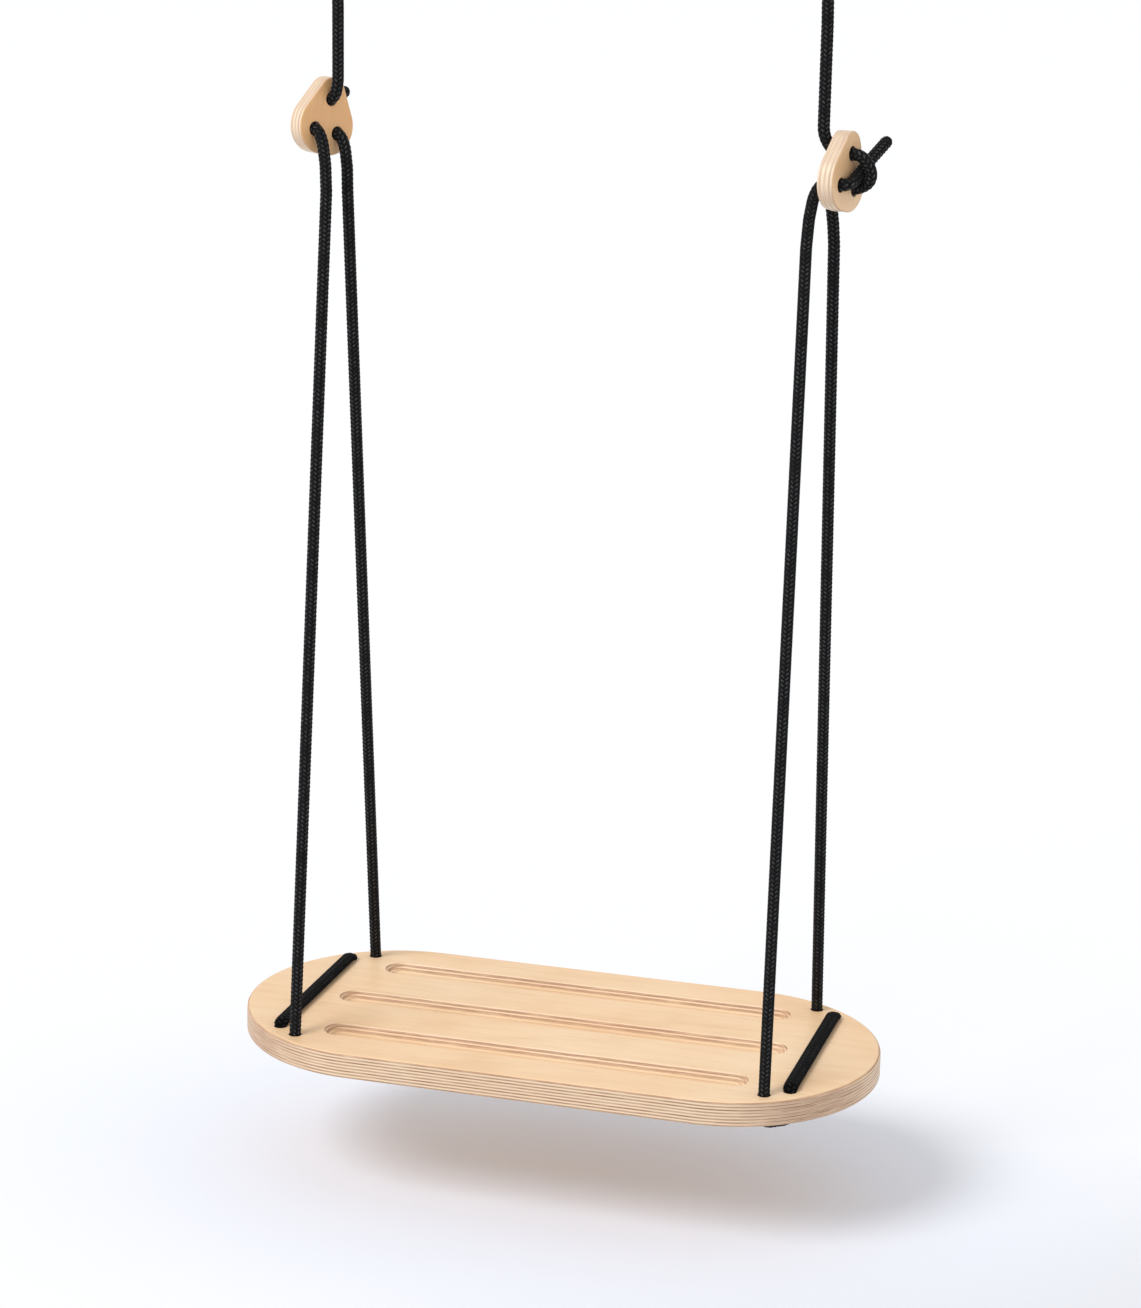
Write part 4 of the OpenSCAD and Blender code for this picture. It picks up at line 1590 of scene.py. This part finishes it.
    def build(self) -> list[bpy.types.Object]:
        """Builds every piece of the fitting."""
        return [self.plate(), self.bolt(), self.nut(), self.washers(), self.bush(), self.link()]


@dataclass
class SnapHook:
    """The snap hook: bent bar, spring gate, its pin and its spring.

    Attributes:
        side: Which rope it holds.
        metals: The finishes.
        bar_r: Radius of the bar in metres.
        turn_r: Radius of the bar's bends in metres, to its middle.
    """

    side: Side
    metals: Metals
    bar_r: float = 0.004
    turn_r: float = 0.013

    def __post_init__(self) -> None:
        """Finds the hook's place from the frame."""
        low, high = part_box(self.side.node("snap_hook"))
        self.x = self.side.value * HANG_HALF * MM
        self.gate_x = self.x - self.side.value * self.turn_r
        self.top_z = high[2] - self.bar_r - self.turn_r
        self.low_z = low[2] + self.bar_r + self.turn_r
        self.pin_z = self.low_z + self.bar_r
        self.gate_top_z = self.top_z - self.bar_r

    def finish_piece(self, piece, part: str, body: str, material, slot: str):
        """Names a piece after its part, dresses it and puts it on its body."""
        piece.name = self.side.node(f"{part}_made")
        smooth(piece, 40)
        dress(piece, material)
        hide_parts(self.side.node(part))
        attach(piece, body)
        return piece

    def bow(self, upper: bool) -> list[Vector]:
        """Points of one bend, from the back to the gate's side."""
        way = self.side.value
        z = self.top_z if upper else self.low_z
        lift = 1 if upper else -1
        return [Vector((self.x + way * self.turn_r * math.cos(math.radians(a)), 0,
                        z + lift * self.turn_r * math.sin(math.radians(a))))
                for a in range(0, 181, 9)]

    def hook(self) -> bpy.types.Object:
        """The bent bar with the tongue that holds the gate's pin."""
        nose = self.gate_top_z + 0.0008
        route = (list(reversed(self.bow(False))) + self.bow(True)
                 + [Vector((self.gate_x, 0, nose))])
        hook = bar("hook", Line(route, radius=0.0005), self.bar_r, 32, 0.0012)
        bevel_edges(hook, sharper_than(60), 0.0006, 3)
        tongue = hull_of("tongue", [
            prism("eye", 40, self.bar_r - 0.0005, 0.003, Axis.Y, (self.gate_x, 0, self.pin_z)),
            block("foot", (self.gate_x - 0.0035, -0.0015, self.low_z - 0.001),
                  (self.gate_x + 0.0035, 0.0015, self.pin_z))])
        combine(hook, tongue, "UNION")
        drill(hook, 0.0015, Axis.Y, (self.gate_x, 0, self.pin_z), 0.020, 32)
        return self.finish_piece(hook, "snap_hook", "sling", self.metals.hook, "hook_steel")

    def gate(self) -> bpy.types.Object:
        """The gate: a bar forked over the tongue."""
        long = self.gate_top_z - self.pin_z
        gate = prism("gate", 48, self.bar_r, long, Axis.Z,
                     (self.gate_x, 0, self.pin_z + long / 2))
        bevel_edges(gate, lambda e: all(v.co.z > self.gate_top_z - 1e-5 for v in e.verts),
                    0.0009, 3)
        foot = prism("foot", 48, self.bar_r, 0.008, Axis.Y, (self.gate_x, 0, self.pin_z))
        column = prism("column", 48, self.bar_r, 0.016, Axis.Z, (self.gate_x, 0, self.pin_z))
        combine(foot, column, "INTERSECT")
        combine(gate, foot, "UNION")
        combine(gate, block("slot", (self.gate_x - 0.008, -0.0018, self.pin_z - 0.008),
                            (self.gate_x + 0.008, 0.0018, self.pin_z + 0.006)), "DIFFERENCE")
        combine(gate, prism("bore", 32, 0.002, 0.009, Axis.Z,
                            (self.gate_x, 0, self.pin_z + 0.0095)), "DIFFERENCE")
        drill(gate, 0.00155, Axis.Y, (self.gate_x, 0, self.pin_z), 0.020, 32)
        return self.finish_piece(gate, "hook_gate", f"{self.side.word}_gate",
                                 self.metals.hook, "hook_steel")

    def pin(self) -> bpy.types.Object:
        """The gate's pin, with domed ends."""
        pin = lathe("pin", [(0, -4.0), (0.9, -3.95), (1.35, -3.7), (1.5, -3.3), (1.5, 3.3),
                            (1.35, 3.7), (0.9, 3.95), (0, 4.0)], Axis.Y,
                    (self.gate_x, 0, self.pin_z), steps=40)
        return self.finish_piece(pin, "gate_pin", "sling", self.metals.bolt, "bolt_steel")

    def spring(self) -> bpy.types.Object:
        """The coil that pushes the gate shut."""
        low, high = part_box(self.side.node("gate_spring"))
        wire, turns, steps = 0.00032, 9, 20
        long = high[2] - low[2] - 2 * wire
        route = [Vector((self.gate_x + 0.00115 * math.cos(2 * math.pi * k / steps),
                         0.00115 * math.sin(2 * math.pi * k / steps),
                         low[2] + wire + long * k / (turns * steps)))
                 for k in range(turns * steps + 1)]
        spring = bar("spring", Line(route, radius=0.0004), wire, 8, 0.0004)
        spring.name = self.side.node("gate_spring_made")
        dress(spring, self.metals.spring)
        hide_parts(self.side.node("gate_spring"))
        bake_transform(spring)
        return spring

    def build(self) -> list[bpy.types.Object]:
        """Builds every piece of the hook."""
        return [self.hook(), self.gate(), self.pin(), self.spring()]


@dataclass
class RopeEnd:
    """What finishes a rope's upper end: a thimble in its eye, and a whipping below.

    Attributes:
        side: Which rope it is.
        metals: The finishes.
        twine: Finish of the whipping.
    """

    side: Side
    metals: Metals
    twine: bpy.types.Material

    def thimble(self) -> bpy.types.Object:
        """The steel thimble, a rolled channel."""
        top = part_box(self.side.node("thimble"))[1][2]
        profile = [
            (18.5, -6.7), (14.4, -6.7), (13.0, -6.1), (12.2, -4.4), (12.0, 0.0), (12.2, 4.4),
            (13.0, 6.1), (14.4, 6.7), (18.5, 6.7), (18.5, 5.5), (15.0, 5.4), (14.1, 4.6),
            (13.55, 2.8), (13.4, 0.0), (13.55, -2.8), (14.1, -4.6), (15.0, -5.4), (18.5, -5.5)]
        piece = lathe("thimble", profile, Axis.X,
                      (self.side.value * HANG_HALF * MM, 0, top - 0.0185), steps=64, turn=230,
                      start=295)
        piece.name = self.side.node("thimble_made")
        bevel_edges(piece, sharper_than(60), 0.0003, 2)
        smooth(piece, 40)
        dress(piece, self.metals.thimble)
        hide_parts(self.side.node("thimble"))
        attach(piece, "sling")
        return piece

    def whipping(self) -> bpy.types.Object:
        """Waxed twine wound tightly round the two strands."""
        low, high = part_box(self.side.node("whipping"))
        twine_r, strand_y, reach = 0.00086, 0.0051, 0.0072
        x = self.side.value * HANG_HALF * MM
        round_r = reach - twine_r
        turns = int((high[2] - low[2] - 2 * twine_r) / (1.86 * twine_r))
        lap = 40
        route = []
        half, flat = math.pi * round_r, 2 * strand_y
        whole = 2 * (half + flat)
        for k in range(turns * lap + 1):
            at = whole * (k % lap) / lap
            z = low[2] + twine_r + (high[2] - low[2] - 2 * twine_r) * k / (turns * lap)
            if at < half:
                a = at / round_r
                spot = (round_r * math.cos(a), strand_y + round_r * math.sin(a))
            elif at < half + flat:
                spot = (-round_r, strand_y - (at - half))
            elif at < 2 * half + flat:
                a = math.pi + (at - half - flat) / round_r
                spot = (round_r * math.cos(a), -strand_y + round_r * math.sin(a))
            else:
                spot = (round_r, -strand_y + (at - 2 * half - flat))
            route.append(Vector((x + spot[0], spot[1], z)))
        piece = bar("whipping", Line(route, radius=0.002), twine_r, 12, 0.0012, twist=0.004)
        piece.name = self.side.node("whipping_made")
        dress(piece, self.twine)
        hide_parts(self.side.node("whipping"))
        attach(piece, "sling")
        return piece

    def build(self) -> list[bpy.types.Object]:
        """Builds the thimble and the whipping."""
        return [self.thimble(), self.whipping()]


# ---------------------------------------------------------------- studio


@dataclass
class Studio:
    """The camera, the pale floor and the soft light.

    Attributes:
        camera_at: The camera's place in metres.
        right: The camera's direction to the right.
        up: The camera's upward direction.
        lens: Focal length in millimetres, on a sensor 36 mm long.
        floor_below: Distance from the seat's top down to the floor, in metres.
    """

    camera_at: tuple[float, float, float] = (0.79490, -2.72474, -0.08543)
    right: tuple[float, float, float] = (0.95888, 0.28326, 0.01767)
    up: tuple[float, float, float] = (-0.08978, 0.24367, 0.96569)
    lens: float = 89.9
    floor_below: float = 0.15

    def camera(self) -> bpy.types.Object:
        """Sets up the camera."""
        data = bpy.data.cameras.new("camera")
        data.lens = self.lens
        data.sensor_width = 36
        data.clip_end = 100
        camera = bpy.data.objects.new("camera", data)
        bpy.context.scene.collection.objects.link(camera)
        right, up = Vector(self.right).normalized(), Vector(self.up).normalized()
        back = right.cross(up)
        camera.matrix_world = (Matrix.Translation(Vector(self.camera_at))
                               @ Matrix((right, up, back)).transposed().to_4x4())
        bpy.context.scene.camera = camera
        return camera

    def floor(self) -> bpy.types.Object:
        """The floor, close below the seat, with a painted shadow towards the front right and
        painted cool shade under the seat.
        """
        deselect()
        bpy.ops.mesh.primitive_plane_add(size=40,
                                         location=(0, 0, seat_top_z() - self.floor_below))
        floor = named("studio_floor")
        material = bpy.data.materials.new("studio_paper")
        material.use_nodes = True
        b = NodeBook(material.node_tree)
        shader = material.node_tree.nodes["Principled BSDF"]
        split = b.add("ShaderNodeSeparateXYZ")
        b.join(b.add("ShaderNodeTexCoord").outputs["Object"], split.inputs[0])
        # Painted shadow: the floor darkens towards the front right, where the swing's shadow
        # falls
        near = b.math("SUBTRACT", b.math("MULTIPLY", split.outputs[0], 0.9), split.outputs[1])
        paper = b.blend(b.smoothstep(near, 0.18, 0.60), (0.885, 0.895, 0.92, 1),
                        (0.74, 0.75, 0.775, 1))
        # Painted shade: a darker, bluer floor under the seat, offsetting the warm light bounced
        # from the board
        middle = b.add("ShaderNodeVectorMath", operation="LENGTH")
        b.join(b.scaled(b.add("ShaderNodeTexCoord").outputs["Object"], (1.0, 1.5, 0.0)),
               middle.inputs[0])
        paper = b.blend(b.smoothstep(middle.outputs["Value"], 0.75, 0.15), paper,
                        (0.80, 0.845, 0.95, 1))
        b.join(paper, shader.inputs["Base Color"])
        shader.inputs["Roughness"].default_value = 0.95
        shader.inputs["Specular IOR Level"].default_value = 0.05
        floor.data.materials.append(material)
        return floor

    def light(self) -> None:
        """A near-white surround, and soft light from above, in front and to the left."""
        world = bpy.data.worlds.new("surround")
        bpy.context.scene.world = world
        world.use_nodes = True
        background = world.node_tree.nodes["Background"]
        background.inputs["Color"].default_value = (1.0, 1.0, 1.0, 1)
        background.inputs["Strength"].default_value = 0.78
        data = bpy.data.lights.new("key", "SUN")
        data.energy = 1.50
        data.angle = math.radians(26)
        key = bpy.data.objects.new("key", data)
        key.rotation_euler = Vector((0.42, 0.52, -0.74)).to_track_quat("-Z", "Y").to_euler()
        bpy.context.scene.collection.objects.link(key)

    def build(self) -> None:
        """Sets up the whole studio."""
        self.camera()
        self.floor()
        self.light()
        bpy.context.scene.view_settings.view_transform = "Standard"


# ---------------------------------------------------------------- making


def make_metals() -> Metals:
    """Makes the metal and nylon finishes."""
    wear = metal_wear_group()
    return Metals(
        plate=MetalFinish("zinc", (0.55, 0.56, 0.58, 1), (0.33, 0.33, 0.34, 1), 0.36,
                          0.55).build(wear),
        bolt=MetalFinish("bolt_zinc", (0.62, 0.63, 0.65, 1), (0.42, 0.40, 0.35, 1), 0.28,
                         0.35).build(wear),
        hook=MetalFinish("nickel", (0.68, 0.68, 0.67, 1), (0.48, 0.47, 0.44, 1), 0.17,
                         0.30).build(wear),
        thimble=MetalFinish("galvanised", (0.64, 0.65, 0.66, 1), (0.40, 0.41, 0.42, 1), 0.33,
                            0.6).build(wear),
        spring=MetalFinish("spring_wire", (0.42, 0.42, 0.43, 1), (0.2, 0.18, 0.16, 1), 0.30,
                           0.4).build(wear),
        nylon=NylonFinish("white_nylon").build())


def main() -> None:
    """Makes the studio, the ropes, the wood and the fittings."""
    logging.basicConfig(level=logging.INFO, format="%(name)s: %(message)s")
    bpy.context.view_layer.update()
    Studio().build()
    braid = BraidFinish("black_braid").build()
    # Darker copy of the braid, with fainter painted glints, for the strap on the board: painted
    # shade
    pressed = BraidFinish("pressed_braid", shine=0.35).build()
    for side in Side:
        SwingRope(side, braid, pressed).build()
    plywood = plywood_group()
    seat_middle = (0.0, 0.0, seat_top_z() - 0.012)
    SeatBoard(PlywoodFinish("seat_birch", middle=seat_middle, ply=0.00145, warmth=0.2,
                            cream=0.5).build(plywood)).build()
    metals = make_metals()
    twine = TwineFinish("waxed_twine").build()
    for side in Side:
        warmth = 0.85 if side is Side.LEFT else 0.45
        Adjuster(side, PlywoodFinish(side.node("adjuster_birch"), ply=0.0022, warmth=warmth,
                                     contrast=0.55, cream=0.85)).build(plywood)
        CeilingFitting(side, metals).build()
        SnapHook(side, metals).build()
        RopeEnd(side, metals, twine).build()


if __name__ == "__main__":
    main()
